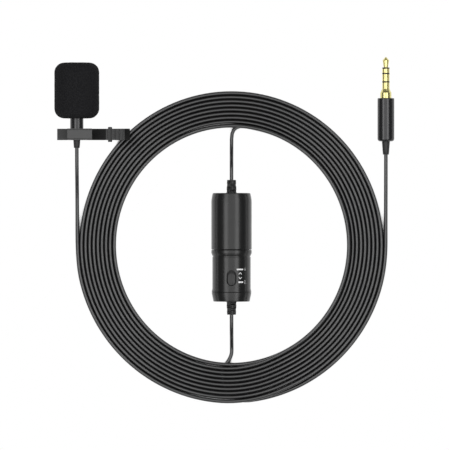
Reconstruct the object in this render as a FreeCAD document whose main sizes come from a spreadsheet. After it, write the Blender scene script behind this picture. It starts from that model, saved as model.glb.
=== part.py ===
import FreeCAD, Part
import math
import os

import Sketcher

# Lavalier microphone: foam-covered capsule with a tie clip, battery module, four-pole plug
# and one long cord wound flat round the module. It lies on its back, as worn side up.
# The origin is on the surface below the middle of the microphone, clip and module.
# Millimetres, +Z up, +Y from the coil's middle towards the foam and the plug's tip.

doc = FreeCAD.newDocument("LavalierMicrophone")
Vector = FreeCAD.Vector

SIZES = {
    # Cord and coil
    "cord_radius": 0.9,
    "coil_wire_radius": 0.76,
    "coil_pitch": 1.97,
    "inner_turn_radius": 56.3,
    "coil_oval": 1.0,
    "coil_lift": 2.1,
    "bore_clearance": 0.05,
    # Foam windscreen and microphone
    "foam_radius": 10.8,
    "foam_length": 26.8,
    "foam_rounding": 4.8,
    "foam_fit": 0.3,
    "foam_start": 10.35,
    "mic_reach": 46.6,
    "mic_boot_length": 3.7,
    "mic_boot_tip": 1.35,
    "mic_boot_base": 1.6,
    "mic_boot_flange": 1.9,
    "barrel_radius": 3.17,
    "barrel_length": 17.4,
    "barrel_bore": 2.1,
    "barrel_floor": 1.2,
    "capsule_radius": 2.5,
    "capsule_length": 2.6,
    "gasket_thickness": 0.5,
    "grille_length": 4.6,
    "grille_wall": 0.4,
    "grille_hole": 0.45,
    "grille_ring": 1.6,
    "screen_thickness": 0.2,
    # Tie clip
    "clip_width": 5.42,
    "clip_offset": 0.1,
    "tip_reach": 9.5,
    "pin_reach": 15.8,
    "pad_reach": 25.3,
    "bend_reach": 13.0,
    "pad_rise": 5.0,
    "leaf_thickness": 1.2,
    "leaf_gap": 0.3,
    "holder_drop": 4.4,
    "holder_rise": 3.9,
    "holder_half": 4.5,
    "holder_lip": 7.4,
    "lip_thickness": 1.2,
    "face_plate_width": 4.1,
    "face_plate_thickness": 0.8,
    "rivet_radius": 0.9,
    "rivet_grip": 0.8,
    "rib_height": 0.45,
    "rib_width": 1.35,
    "rib_pitch": 1.95,
    "ear_thickness": 0.8,
    "ear_half": 1.7,
    "pin_drop": 1.0,
    "pin_radius": 1.0,
    "pin_length": 7.2,
    "lug_radius": 1.7,
    "lug_width": 3.4,
    "spring_slot": 2.1,
    "spring_slot_length": 4.9,
    "spring_wire": 0.22,
    "spring_pitch": 0.5,
    "spring_turns": 2,
    "spring_rise": 0.3,
    "upper_leg": 3.2,
    "lower_leg": 2.0,
    "back_pad_drop": 1.2,
    "back_pad_step": 0.5,
    "tooth_height": 0.2,
    "tooth_width": 0.5,
    "tooth_pitch": 1.2,
    # Battery module
    "cap_radius": 9.67,
    "cap_bore": 8.4,
    "cap_length": 27.1,
    "cap_shoulder": 3.6,
    "cap_end_radius": 8.9,
    "cap_end_wall": 1.8,
    "seam_below": 2.1,
    "seam_gap": 0.1,
    "collar_length": 2.9,
    "collar_band": 1.4,
    "housing_radius": 9.17,
    "housing_bore": 7.4,
    "housing_length": 17.3,
    "neck_radius": 8.3,
    "neck_bore": 6.9,
    "neck_length": 4.6,
    "neck_web": 1.4,
    "groove_start": 1.4,
    "groove_width": 1.1,
    "groove_depth": 0.8,
    "seal_wire": 0.42,
    "tail_length": 4.55,
    "tail_radius": 9.5,
    "tail_end_radius": 8.71,
    "tail_lip": 0.4,
    "tail_wall": 1.6,
    "tail_spigot": 1.5,
    "tail_bore": 6.2,
    "boot_length": 6.3,
    "boot_base": 2.5,
    "boot_tip": 2.25,
    "boot_flange": 3.5,
    "boot_flange_length": 0.9,
    "boot_groove": 0.35,
    "boot_rib": 0.63,
    "tray_radius": 7.0,
    "tray_floor": 1.2,
    "tray_top": 1.5,
    "cell_radius": 5.8,
    "cell_length": 5.4,
    "cell_clearance": 0.1,
    "contact_thickness": 0.3,
    "contact_radius": 3.4,
    "cell_spring_height": 1.6,
    "cell_spring_radius": 2.6,
    "cell_spring_wire": 0.2,
    "anchor_radius": 2.3,
    "anchor_length": 2.4,
    "wire_radius": 0.3,
    "wire_bow": 2.2,
    "wire_depth": 6.4,
    "wire_spread": 0.6,
    "board_rise": 0.6,
    "board_thickness": 1.0,
    "board_width": 13.0,
    "board_length": 15.5,
    "board_start": 2.0,
    "shelf_thickness": 1.2,
    "shelf_width": 1.8,
    "switch_width": 6.0,
    "switch_length": 9.0,
    "switch_height": 3.8,
    "slot_centre": 6.7,
    "slot_width": 4.56,
    "slot_length": 7.0,
    "knob_width": 3.3,
    "knob_length": 5.8,
    "knob_proud": 0.15,
    "switch_travel": 1.0,
    "slide_plate_length": 8.2,
    "slide_plate_width": 5.4,
    "slide_plate_thickness": 0.8,
    "slide_plate_lift": 0.2,
    "stem_width": 1.2,
    "stem_depth": 1.4,
    # Plug
    "plug_reach": 43.5,
    "plug_boot_length": 6.3,
    "plug_boot_tip": 1.49,
    "plug_boot_base": 1.92,
    "plug_boot_flange": 2.8,
    "plug_flange_length": 0.8,
    "handle_radius": 4.03,
    "handle_bore": 3.28,
    "handle_length": 20.7,
    "handle_wall": 1.2,
    "handle_rounding": 1.3,
    "core_length": 18.5,
    "core_play": 0.05,
    "jack_radius": 1.75,
    "jack_collar_radius": 2.66,
    "jack_collar_length": 2.6,
    "jack_taper": 1.9,
    "jack_shank_radius": 2.4,
    "jack_shank_length": 2.0,
    "sleeve_stretch": 3.0,
    "ring_2_stretch": 3.4,
    "ring_1_stretch": 2.0,
    "insulator_stretch": 0.6,
    "tip_stretch": 5.0,
    "tip_nose": 1.5,
    "tip_radius": 1.55,
    "tip_neck": 1.05,
    "tip_point": 0.25,
    "rod_radius": 0.4,
    "nest_wall": 0.2,
    "tail_step": 1.5,
}
RIB_COUNT = 4
TOOTH_COUNT = 3
GRILLE_HOLES = 6
BOOT_GROOVES = 4

# The module's small board parts: across, along, width, length and height on the board.
BOARD_PARTS = {
    "chip": (-6.2, 4.0, 2.6, 4.0, 1.2),
    "capacitor": (3.6, 4.5, 2.4, 3.0, 1.8),
    "resistor": (3.8, 9.0, 1.2, 2.2, 0.6),
    "coil_filter": (-6.0, 10.0, 2.0, 2.6, 1.1),
}


def make_sheet():
    """The sheet of driving dimensions."""
    sheet = doc.addObject("Spreadsheet::Sheet", "Sizes")
    for row, (alias, value) in enumerate(SIZES.items(), start=1):
        sheet.set("A%d" % row, alias.replace("_", " "))
        sheet.set("B%d" % row, str(value))
        sheet.setAlias("B%d" % row, alias)
    return sheet


sheet = make_sheet()
doc.recompute()


def size(alias):
    return float(sheet.get(alias))


places = doc.addObject("App::VarSet", "Places")


def place(name, expression):
    """A length worked out from the sheet, under a name of its own."""
    places.addProperty("App::PropertyFloat", name)
    places.setExpression(name, expression)
    doc.recompute()


def at(name):
    return getattr(places, name)


def work_out_places():
    """Axes, levels and stations that several pieces share."""
    place("lead_radius", "Sizes.inner_turn_radius + 9 * Sizes.coil_pitch")
    place("coil_x", "(Places.lead_radius + Sizes.foam_radius - Sizes.cap_radius) / 2")
    place("foam_top", "Sizes.mic_reach + Sizes.mic_boot_length + Sizes.foam_start + Sizes.foam_length")
    place("collar_base", "Sizes.seam_below + Sizes.seam_gap + Sizes.collar_length")
    place("tail_top", "Places.collar_base + Sizes.housing_length")
    place("module_foot", "Places.tail_top + Sizes.tail_length + Sizes.boot_length")
    place("coil_y", "(Places.module_foot - Places.foam_top) / 2")
    place("mic_x", "Places.coil_x - Places.lead_radius")
    place("plug_x", "Places.coil_x + Places.lead_radius")
    place("cord_bore", "Sizes.cord_radius + Sizes.bore_clearance")
    # Microphone and clip
    place("mic_foot", "Places.coil_y + Sizes.mic_reach")
    place("barrel_base", "Places.mic_foot + Sizes.mic_boot_length")
    place("barrel_top", "Places.barrel_base + Sizes.barrel_length")
    place("capsule_seat", "Sizes.barrel_length - Sizes.capsule_length - Sizes.gasket_thickness")
    place("capsule_pocket", "Sizes.capsule_radius + Sizes.bore_clearance")
    place("foam_base", "Places.barrel_base + Sizes.foam_start")
    place("foam_bore", "Sizes.barrel_radius + Sizes.foam_fit")
    place("foam_depth", "Sizes.barrel_length - Sizes.foam_start + Sizes.grille_length + Sizes.foam_fit")
    place("clip_base", "Places.barrel_base + Sizes.clip_offset")
    place("clip_top", "Places.clip_base + Sizes.clip_width")
    place("clip_middle", "Places.clip_base + Sizes.clip_width / 2")
    place("tip_x", "Places.mic_x - Sizes.tip_reach")
    place("leaf_top", "Sizes.foam_radius - Sizes.holder_drop")
    place("leaf_under", "Places.leaf_top - Sizes.leaf_thickness")
    place("back_top", "Places.leaf_under - Sizes.leaf_gap")
    place("back_under", "Places.back_top - Sizes.leaf_thickness")
    place("pin_x", "Places.mic_x + Sizes.pin_reach")
    place("pin_z", "Places.leaf_under - Sizes.pin_drop")
    place("holder_top", "Sizes.foam_radius + Sizes.holder_rise")
    place("pad_slope", "Sizes.pad_rise / (Sizes.pad_reach - Sizes.bend_reach)")
    place("ring_fit", "Sizes.barrel_radius + Sizes.bore_clearance")
    # Module
    place("seam_y", "Places.coil_y - Sizes.seam_below")
    place("housing_base", "Places.coil_y - Places.tail_top")
    place("neck_start", "Sizes.housing_length + Sizes.collar_length")
    place("neck_end", "Places.neck_start + Sizes.neck_length")
    place("neck_top_y", "Places.housing_base + Places.neck_end")
    place("tail_base", "Places.housing_base - Sizes.tail_length")
    place("boot_hole", "Sizes.boot_base + Sizes.bore_clearance")
    place("cap_end_y", "Places.seam_y + Sizes.cap_length")
    place("pocket_length", "Sizes.cell_spring_height + Sizes.cell_length + Sizes.contact_thickness")
    place("pocket_radius", "Sizes.cell_radius + Sizes.cell_clearance")
    place("tray_length", "Sizes.tray_floor + Places.pocket_length + Sizes.tray_top")
    place("tray_top_y", "Places.neck_top_y + Places.tray_length")
    place("board_under", "Sizes.cap_radius + Sizes.board_rise")
    place("board_over", "Places.board_under + Sizes.board_thickness")
    place("switch_top", "Places.board_over + Sizes.switch_height")
    place("slot_y", "Places.housing_base + Sizes.slot_centre")
    place("knob_y", "Places.slot_y - Sizes.switch_travel / 2")
    place("plate_z", "Places.switch_top + Sizes.slide_plate_lift")
    place("knob_top", "Sizes.cap_radius + Sizes.housing_radius + Sizes.knob_proud")
    # Plug
    place("plug_foot", "Places.coil_y + Sizes.plug_reach")
    place("handle_base", "Places.plug_foot + Sizes.plug_boot_length")
    place("handle_front", "Places.handle_base + Sizes.handle_length")
    place("sleeve_end", "Sizes.jack_collar_length + Sizes.jack_taper + Sizes.sleeve_stretch")
    place("ring_2_start", "Places.sleeve_end + Sizes.insulator_stretch")
    place("ring_2_end", "Places.ring_2_start + Sizes.ring_2_stretch")
    place("ring_1_start", "Places.ring_2_end + Sizes.insulator_stretch")
    place("ring_1_end", "Places.ring_1_start + Sizes.ring_1_stretch")
    place("tip_start", "Places.ring_1_end + Sizes.insulator_stretch")


work_out_places()


def put(thing, across="0", along="0", up="0"):
    """Places a piece in the row's frame by expressions."""
    thing.setExpression("Placement.Base.x", across)
    thing.setExpression("Placement.Base.y", along)
    thing.setExpression("Placement.Base.z", up)
    return thing


def outline(body, name, plane, corners):
    """A closed sketch through corners, each a pair of expressions from the sketch's origin."""
    sketch = body.newObject("Sketcher::SketchObject", name)
    origin_planes = [f for f in body.Origin.OriginFeatures if f.Role == plane]
    sketch.AttachmentSupport = (origin_planes[0], [""])
    sketch.MapMode = "FlatFace"
    count = len(corners)
    for i in range(count):
        turn = 2 * math.pi / count
        start = Vector(20 + 9 * math.cos(i * turn), 20 + 9 * math.sin(i * turn), 0)
        end = Vector(20 + 9 * math.cos((i + 1) * turn), 20 + 9 * math.sin((i + 1) * turn), 0)
        sketch.addGeometry(Part.LineSegment(start, end), False)
    for i in range(count):
        sketch.addConstraint(Sketcher.Constraint("Coincident", i, 2, (i + 1) % count, 1))
    for i, corner in enumerate(corners):
        for kind, axis, expression in (("DistanceX", -2, corner[0]), ("DistanceY", -1, corner[1])):
            if expression == "0":
                sketch.addConstraint(Sketcher.Constraint("PointOnObject", i, 1, axis))
            else:
                bound = sketch.addConstraint(Sketcher.Constraint(kind, -1, 1, i, 1, 20.0))
                sketch.setExpression("Constraints[%d]" % bound, expression)
    return sketch


def turned(name, corners, across, along, up, label=None):
    """A piece turned about an axis along Y: corners are (radius, station from its base)."""
    body = doc.addObject("PartDesign::Body", name)
    body.Label = label or name
    sketch = outline(body, name + "_profile", "XY_Plane", corners)
    turn = body.newObject("PartDesign::Revolution", name + "_turn")
    turn.Profile = sketch
    turn.ReferenceAxis = (sketch, ["V_Axis"])
    turn.Angle = 360
    body.Tip = turn
    return put(body, across, along, up)


def barred(name, corners, width, across, far_side, up, label=None):
    """A bar with an outline of (across, height) corners; far_side is its side of greatest Y."""
    body = doc.addObject("PartDesign::Body", name)
    body.Label = label or name
    sketch = outline(body, name + "_outline", "XZ_Plane", corners)
    pad = body.newObject("PartDesign::Pad", name + "_pad")
    pad.Profile = sketch
    pad.setExpression("Length", width)
    body.Tip = pad
    return put(body, across, far_side, up)


def block(name, length, width, height, across, along, up):
    box = doc.addObject("Part::Box", name)
    box.setExpression("Length", length)
    box.setExpression("Width", width)
    box.setExpression("Height", height)
    return put(box, across, along, up)


def rod(name, radius, height, across, along, up, direction="Z"):
    """A cylinder from its base point along +Z, or along +Y."""
    cylinder = doc.addObject("Part::Cylinder", name)
    cylinder.setExpression("Radius", radius)
    cylinder.setExpression("Height", height)
    if direction == "Y":
        cylinder.Placement = FreeCAD.Placement(Vector(), FreeCAD.Rotation(Vector(1, 0, 0), -90))
    return put(cylinder, across, along, up)


def joined(name, pieces):
    whole = doc.addObject("Part::MultiFuse", name)
    whole.Shapes = pieces
    whole.Refine = True
    return whole


def cut(name, base, tool):
    result = doc.addObject("Part::Cut", name)
    result.Base = base
    result.Tool = tool
    return result


def group(name, pieces):
    together = doc.addObject("Part::Compound", name)
    together.Links = pieces
    return together


def rounded_slot(name, width, length, height, across, along, up):
    """An upright block with round ends, centred on (across, along), from up."""
    straight = "(%s) - (%s)" % (length, width)
    middle = block(
        name + "_middle",
        width,
        straight,
        height,
        "%s - (%s) / 2" % (across, width),
        "%s - (%s) / 2" % (along, straight),
        up,
    )
    ends = [
        rod(
            name + "_end_%d" % i,
            "(%s) / 2" % width,
            height,
            across,
            "%s %s (%s) / 2" % (along, sign, straight),
            up,
        )
        for i, sign in enumerate("+-")
    ]
    return joined(name, [middle] + ends)


def round_edge(body, name, radius, station, size_name):
    """Rounds the outer circle of a turned piece at a station."""
    doc.recompute()
    before = body.Tip
    found = []
    for i, edge in enumerate(before.Shape.Edges, start=1):
        circle = edge.Curve
        if not isinstance(circle, Part.Circle):
            continue
        if abs(circle.Radius - radius) < 0.01 and abs(circle.Center.y - station) < 0.01:
            found.append("Edge%d" % i)
    fillet = body.newObject("PartDesign::Fillet", name)
    fillet.Base = (before, found)
    fillet.setExpression("Radius", "Sizes." + size_name)
    body.Tip = fillet


def solid(name, shape):
    """A piece whose shape is worked out here, in coordinates about the coil's middle."""
    feature = doc.addObject("Part::Feature", name)
    feature.Shape = shape
    return put(feature, "Places.coil_x", "Places.coil_y")


# Cords


def corner_arcs(points, label):
    """Edges of straight runs joined by tangent arcs, and the arcs' radii, which are printed."""
    edges = []
    radii = []
    last = points[0]
    for before, corner, after in zip(points, points[1:], points[2:]):
        into = (corner - before).normalize()
        out = (after - corner).normalize()
        half_turn = into.getAngle(out) / 2
        reach = 0.45 * min(corner.distanceToPoint(before), corner.distanceToPoint(after))
        radius = reach / math.tan(half_turn)
        start = corner - into * reach
        end = corner + out * reach
        inward = (out - into).normalize()
        middle = corner + inward * (radius / math.cos(half_turn) - radius)
        edges.append(Part.LineSegment(last, start).toShape())
        edges.append(Part.Arc(start, middle, end).toShape())
        radii.append(round(radius, 1))
        last = end
    edges.append(Part.LineSegment(last, points[-1]).toShape())
    print(label, "radii", radii)
    return edges


def swept(edges, radius, label):
    """A round tube along edges; its volume is compared with its section times its length."""
    path = Part.Wire(edges)
    start = edges[0].valueAt(edges[0].FirstParameter)
    ahead = edges[0].tangentAt(edges[0].FirstParameter)
    ring = Part.Wire([Part.makeCircle(radius, start, ahead)])
    shell = Part.BRepOffsetAPI.MakePipeShell(path)
    shell.add(ring)
    shell.build()
    shell.makeSolid()
    tube = shell.shape()
    share = tube.Volume / (math.pi * radius * radius * path.Length)
    print(label, "length", round(path.Length, 1), "volume share", round(share, 5), "valid", tube.isValid())
    return tube


def ease(angle, low, high):
    """0 below low, 1 above high, and a smooth climb between them."""
    share = min(1.0, max(0.0, (angle - low) / (high - low)))
    return (1 - math.cos(math.pi * share)) / 2


# Angles round the coil, in degrees from +X: where each turn climbs over the output cord,
# moves in by one pitch and comes down again.
CLIMB = (243.0, 260.0)
MOVE_IN = (274.0, 292.0)
COME_DOWN = (292.0, 309.0)
# The innermost turn stays up until it has passed the hidden last stretch, and that
# stretch goes down below it.
INNER_DOWN = (460.0, 478.0)
LAST_DOWN = (269.5, 281.0)
COIL_START = 180.0
COIL_END = 66.0 + 10 * 360.0
TURNS = 9


def coil_point(angle):
    """A point of the wound cord's centre line; angle grows by 360 with each turn."""
    turn = max(0, int((angle - 200) // 360))
    here = angle - 360 * turn
    moved = min(TURNS, turn + ease(here, *MOVE_IN))
    down = COME_DOWN
    if turn == TURNS - 1:
        down = INNER_DOWN
    if turn == TURNS:
        down = LAST_DOWN
    lifted = ease(here, *CLIMB) - ease(here, *down)
    spin = math.radians(angle)
    radius = size("inner_turn_radius") + size("coil_pitch") * (TURNS - moved)
    radius += size("coil_oval") * math.sin(spin) ** 2
    height = size("cord_radius") + size("coil_lift") * lifted
    return Vector(radius * math.cos(spin), radius * math.sin(spin), height)


def coil_heading(angle):
    step = 0.01
    return (coil_point(angle + step) - coil_point(angle - step)).normalize()


def coil_knots():
    """The angles at which the coil's arcs meet."""
    knots = {COIL_START, COIL_END}
    for turn in range(-1, TURNS + 1):
        marks = [270.0, 360.0, 450.0, 540.0]
        for low, high in (CLIMB, MOVE_IN, COME_DOWN):
            marks += [low, (low + high) / 2, high]
        if turn == TURNS - 1:
            marks += [INNER_DOWN[0], sum(INNER_DOWN) / 2, INNER_DOWN[1]]
        if turn == TURNS:
            marks += [LAST_DOWN[0], sum(LAST_DOWN) / 2, LAST_DOWN[1]]
        knots.update(mark + 360 * turn for mark in marks)
    inside = sorted(k for k in knots if COIL_START <= k <= COIL_END)
    return [k for i, k in enumerate(inside) if i == 0 or k - inside[i - 1] > 1.9]


def arc_from(start, heading, end):
    """The arc that leaves start along heading and reaches end."""
    chord = end - start
    along = Vector(chord).normalize()
    turn = heading.getAngle(along)
    side = heading - along * heading.dot(along)
    if side.Length < 1e-9:
        return Part.LineSegment(start, end).toShape()
    middle = start + chord * 0.5 + side.normalize() * (chord.Length / 2 * math.tan(turn / 2))
    return Part.Arc(start, middle, end).toShape()


def two_arcs(start, heading, end, heading_end):
    """A pair of arcs that meet smoothly between two points with given headings."""
    gap = end - start
    both = heading + heading_end
    square = 2 * (1 - heading.dot(heading_end))
    lean = gap.dot(both)
    if square < 1e-9:
        reach = gap.dot(gap) / (2 * lean)
    else:
        reach = (-lean + math.sqrt(lean * lean + 2 * square * gap.dot(gap) / 2)) / square
    meet = (start + heading * reach + end - heading_end * reach) * 0.5
    second = arc_from(end, heading_end * -1, meet)
    return [arc_from(start, heading, meet), second]


def coil_edges():
    knots = coil_knots()
    straight = 2 * size("cord_radius")
    first = coil_point(knots[0])
    edges = [Part.LineSegment(first - coil_heading(knots[0]) * straight, first).toShape()]
    for low, high in zip(knots, knots[1:]):
        edges += two_arcs(coil_point(low), coil_heading(low), coil_point(high), coil_heading(high))
    last = coil_point(knots[-1])
    edges.append(Part.LineSegment(last, last + coil_heading(knots[-1]) * straight).toShape())
    return edges


def print_least_gap(edges, radius):
    """Measures on points how near the wound cord comes to itself, surface to surface."""
    points = []
    along = 0.0
    for edge in edges:
        count = max(2, int(edge.Length / 0.7))
        steps = edge.discretize(count)
        if steps[0].distanceToPoint(points[-1][1] if points else steps[0]) > 0.001:
            steps.reverse()
        for i, step in enumerate(steps[:-1]):
            points.append((along + edge.Length * i / (count - 1), step))
        points.append((along + edge.Length, steps[-1]))
        along += edge.Length
    cells = {}
    for distance, point in points:
        cells.setdefault((int(point.x // 3), int(point.y // 3)), []).append((distance, point))
    least = 99.0
    for (column, row), here in cells.items():
        near = [p for i in (-1, 0, 1) for j in (-1, 0, 1) for p in cells.get((column + i, row + j), [])]
        for distance, point in here:
            for other, neighbour in near:
                if other - distance > 20:
                    least = min(least, point.distanceToPoint(neighbour))
    print("coil least gap", round(least - 2 * radius, 3), "mm")


def cord_coil():
    edges = coil_edges()
    print_least_gap(edges, size("coil_wire_radius"))
    return solid("cord_coil", swept(edges, size("coil_wire_radius"), "cord_coil"))


def mic_cord():
    """From the microphone's boot down to the surface and straight to the coil."""
    across = -at("lead_radius")
    high = size("foam_radius")
    low = size("cord_radius")
    start = size("mic_reach") + size("mic_boot_length") + size("barrel_floor") + 1.2
    route = [
        Vector(across, start, high),
        Vector(across, size("mic_reach") - 5.6, high),
        Vector(across, 20.5, low),
        Vector(across, 2 * low, low),
    ]
    return solid("mic_cord", swept(corner_arcs(route, "mic_cord"), low, "mic_cord"))


# Half of the angle between neighbouring corners of the routes that follow the coil
LEAD_STEP = 3.5
OUTPUT_CORNERS = 6.5


def module_lead():
    """From the coil's hidden end out from under its innermost turn and up into the cap."""
    low = size("cord_radius")
    high = size("cap_radius")
    start = coil_point(COIL_END) + coil_heading(COIL_END) * 2 * low
    route = [start]
    for k in (1, 3):
        angle = COIL_END + k * LEAD_STEP
        spot = coil_point(angle)
        grow = 1 / math.cos(math.radians(LEAD_STEP))
        route.append(Vector(spot.x * grow, spot.y * grow, low))
    top_boot_tip = size("cap_length") - size("seam_below") + size("boot_length")
    route += [
        Vector(0.1, 58.1, low),
        Vector(0, top_boot_tip + 13.1, 3.2),
        Vector(0, top_boot_tip + 7.0, high),
        Vector(0, at("tray_top_y") - at("coil_y"), high),
    ]
    return solid("module_lead", swept(corner_arcs(route, "module_lead"), low, "module_lead"))


def output_cord():
    """From the module's foot, under the coil, round it as its outermost strand, to the plug."""
    low = size("cord_radius")
    across = at("lead_radius")
    plug = size("plug_reach")
    foot = at("module_foot")
    route = [
        Vector(0, size("tail_wall") + size("boot_length") - foot, size("cap_radius")),
        Vector(0, -foot - 6.35, size("cap_radius")),
        Vector(0.3, -51.5, low),
        Vector(-6.2, -62.9, low),
    ]
    step = 90 / OUTPUT_CORNERS
    for k in range(int(OUTPUT_CORNERS) + 1):
        angle = math.radians(270 + k * step)
        radius = (across + size("coil_oval") * math.sin(angle) ** 2) / math.cos(math.radians(step / 2))
        route.append(Vector(radius * math.cos(angle), radius * math.sin(angle), low))
    route += [
        Vector(across, plug - 31.0, low),
        Vector(across, plug - 10.5, size("handle_radius")),
        Vector(across, plug + size("plug_boot_length") + 3.7, size("handle_radius")),
    ]
    return solid("output_cord", swept(corner_arcs(route, "output_cord"), low, "output_cord"))


def wound_edges(radius, pitch, first, sweep):
    """Arcs of a helix about Z, whose middle is at the origin, and its headings at both ends."""
    count = math.ceil(sweep / 60)
    slope = pitch / (2 * math.pi)

    def spot(angle):
        spin = math.radians(angle)
        height = slope * math.radians(angle - first - sweep / 2)
        return Vector(radius * math.cos(spin), radius * math.sin(spin), height)

    def heading(angle):
        spin = math.radians(angle)
        return Vector(-radius * math.sin(spin), radius * math.cos(spin), slope).normalize()

    edges = []
    for i in range(count):
        low = first + sweep * i / count
        high = first + sweep * (i + 1) / count
        edges += two_arcs(spot(low), heading(low), spot(high), heading(high))
    last = first + sweep
    return edges, (spot(first), heading(first)), (spot(last), heading(last))


# Microphone


def microphone():
    x, z = "Places.mic_x", "Sizes.foam_radius"
    turned(
        "mic_boot",
        [
            ("Places.cord_bore", "0"),
            ("Sizes.mic_boot_tip", "0"),
            ("Sizes.mic_boot_base", "Sizes.mic_boot_length"),
            ("Sizes.mic_boot_base", "Sizes.mic_boot_length + Sizes.barrel_floor"),
            ("Sizes.mic_boot_flange", "Sizes.mic_boot_length + Sizes.barrel_floor"),
            ("Sizes.mic_boot_flange", "Sizes.mic_boot_length + Sizes.barrel_floor + 0.8"),
            ("Places.cord_bore", "Sizes.mic_boot_length + Sizes.barrel_floor + 0.8"),
        ],
        x,
        "Places.mic_foot",
        z,
    )
    turned(
        "mic_barrel",
        [
            ("Sizes.mic_boot_base + Sizes.bore_clearance", "0"),
            ("Sizes.barrel_radius", "0"),
            ("Sizes.barrel_radius", "Sizes.barrel_length"),
            ("Places.capsule_pocket", "Sizes.barrel_length"),
            ("Places.capsule_pocket", "Places.capsule_seat"),
            ("Sizes.barrel_bore", "Places.capsule_seat"),
            ("Sizes.barrel_bore", "Sizes.barrel_floor"),
            ("Sizes.mic_boot_base + Sizes.bore_clearance", "Sizes.barrel_floor"),
        ],
        x,
        "Places.barrel_base",
        z,
    )
    turned(
        "capsule_gasket",
        [
            ("Sizes.barrel_bore - Sizes.bore_clearance", "0"),
            ("Sizes.capsule_radius", "0"),
            ("Sizes.capsule_radius", "Sizes.gasket_thickness"),
            ("Sizes.barrel_bore - Sizes.bore_clearance", "Sizes.gasket_thickness"),
        ],
        x,
        "Places.barrel_base + Places.capsule_seat",
        z,
    )
    turned(
        "mic_capsule",
        [
            ("0", "0"),
            ("Sizes.capsule_radius", "0"),
            ("Sizes.capsule_radius", "Sizes.capsule_length"),
            ("0", "Sizes.capsule_length"),
        ],
        x,
        "Places.barrel_base + Places.capsule_seat + Sizes.gasket_thickness",
        z,
    )
    grille(x, z)
    turned(
        "dust_screen",
        [
            ("0", "0"),
            ("Sizes.barrel_radius - Sizes.grille_wall - Sizes.bore_clearance", "0"),
            ("Sizes.barrel_radius - Sizes.grille_wall - Sizes.bore_clearance", "Sizes.screen_thickness"),
            ("0", "Sizes.screen_thickness"),
        ],
        x,
        "Places.barrel_top + Sizes.grille_length - Sizes.grille_wall - Sizes.screen_thickness",
        z,
    )
    foam = turned(
        "foam_windscreen",
        [
            ("Places.foam_bore", "0"),
            ("Sizes.foam_radius", "0"),
            ("Sizes.foam_radius", "Sizes.foam_length"),
            ("0", "Sizes.foam_length"),
            ("0", "Places.foam_depth"),
            ("Places.foam_bore", "Places.foam_depth"),
        ],
        x,
        "Places.foam_base",
        z,
    )
    round_edge(foam, "foam_crown", size("foam_radius"), size("foam_length"), "foam_rounding")
    round_edge(foam, "foam_foot", size("foam_radius"), 0, "foam_rounding")


def grille(x, z):
    """The metal cap over the capsule, with a ring of holes round one in the middle."""
    shell = turned(
        "grille_shell",
        [
            ("Sizes.barrel_radius - Sizes.grille_wall", "0"),
            ("Sizes.barrel_radius", "0"),
            ("Sizes.barrel_radius", "Sizes.grille_length"),
            ("0", "Sizes.grille_length"),
            ("0", "Sizes.grille_length - Sizes.grille_wall"),
            ("Sizes.barrel_radius - Sizes.grille_wall", "Sizes.grille_length - Sizes.grille_wall"),
        ],
        x,
        "Places.barrel_top",
        z,
    )
    end = "Places.barrel_top + Sizes.grille_length - 2 * Sizes.grille_wall"
    holes = [rod("grille_hole_0", "Sizes.grille_hole", "3 * Sizes.grille_wall", x, end, z, "Y")]
    for k in range(GRILLE_HOLES):
        angle = 360 * k / GRILLE_HOLES
        across = "%s + Sizes.grille_ring * cos(%g deg)" % (x, angle)
        up = "%s + Sizes.grille_ring * sin(%g deg)" % (z, angle)
        name = "grille_hole_%d" % (k + 1)
        holes.append(rod(name, "Sizes.grille_hole", "3 * Sizes.grille_wall", across, end, up, "Y"))
    cut("mic_grille", shell, joined("grille_holes", holes))


# Tie clip


def pad_height(reach, base):
    """Expression for the height of the slanting thumb pad at a reach from the barrel's axis."""
    return "%s + ((%s) - Sizes.bend_reach) * Places.pad_slope" % (base, reach)


def front_jaw():
    tip = "Sizes.tip_reach + "
    corners = [
        ("0", "Places.leaf_under"),
        (tip + "Sizes.bend_reach", "Places.leaf_under"),
        (tip + "Sizes.pad_reach", "Places.leaf_under + Sizes.pad_rise"),
        (tip + "Sizes.pad_reach", "Places.leaf_top + Sizes.pad_rise"),
    ]
    for k in reversed(range(RIB_COUNT)):
        near = "Sizes.pin_reach - Sizes.pin_radius + %d * Sizes.rib_pitch" % k
        far = near + " + Sizes.rib_width"
        low_far, low_near = pad_height(far, "Places.leaf_top"), pad_height(near, "Places.leaf_top")
        corners += [
            (tip + far, low_far),
            (tip + far, low_far + " + Sizes.rib_height"),
            (tip + near, low_near + " + Sizes.rib_height"),
            (tip + near, low_near),
        ]
    corners += [(tip + "Sizes.bend_reach", "Places.leaf_top"), ("0", "Places.leaf_top")]
    leaf = barred("front_leaf", corners, "Sizes.clip_width", "Places.tip_x", "Places.clip_top", "0")
    ears = [
        block(
            "front_ear_%d" % i,
            "2 * Sizes.ear_half",
            "Sizes.ear_thickness",
            "Sizes.ear_half + Sizes.pin_drop + Sizes.leaf_thickness + 0.3",
            "Places.pin_x - Sizes.ear_half",
            along,
            "Places.pin_z - Sizes.ear_half",
        )
        for i, along in enumerate(("Places.clip_base", "Places.clip_top - Sizes.ear_thickness"))
    ]
    hole = rod(
        "front_pin_hole",
        "Sizes.pin_radius + 0.02",
        "Sizes.clip_width + 2",
        "Places.pin_x",
        "Places.clip_base - 1",
        "Places.pin_z",
        "Y",
    )
    rivet_hole = rod(
        "leaf_rivet_hole",
        "Sizes.rivet_radius + 0.02",
        "Sizes.leaf_thickness",
        "Places.mic_x",
        "Places.clip_middle",
        "Places.leaf_under",
    )
    body = joined("front_jaw_body", [leaf] + ears)
    cut("clip_front_jaw", body, joined("front_jaw_holes", [hole, rivet_hole]))


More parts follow.
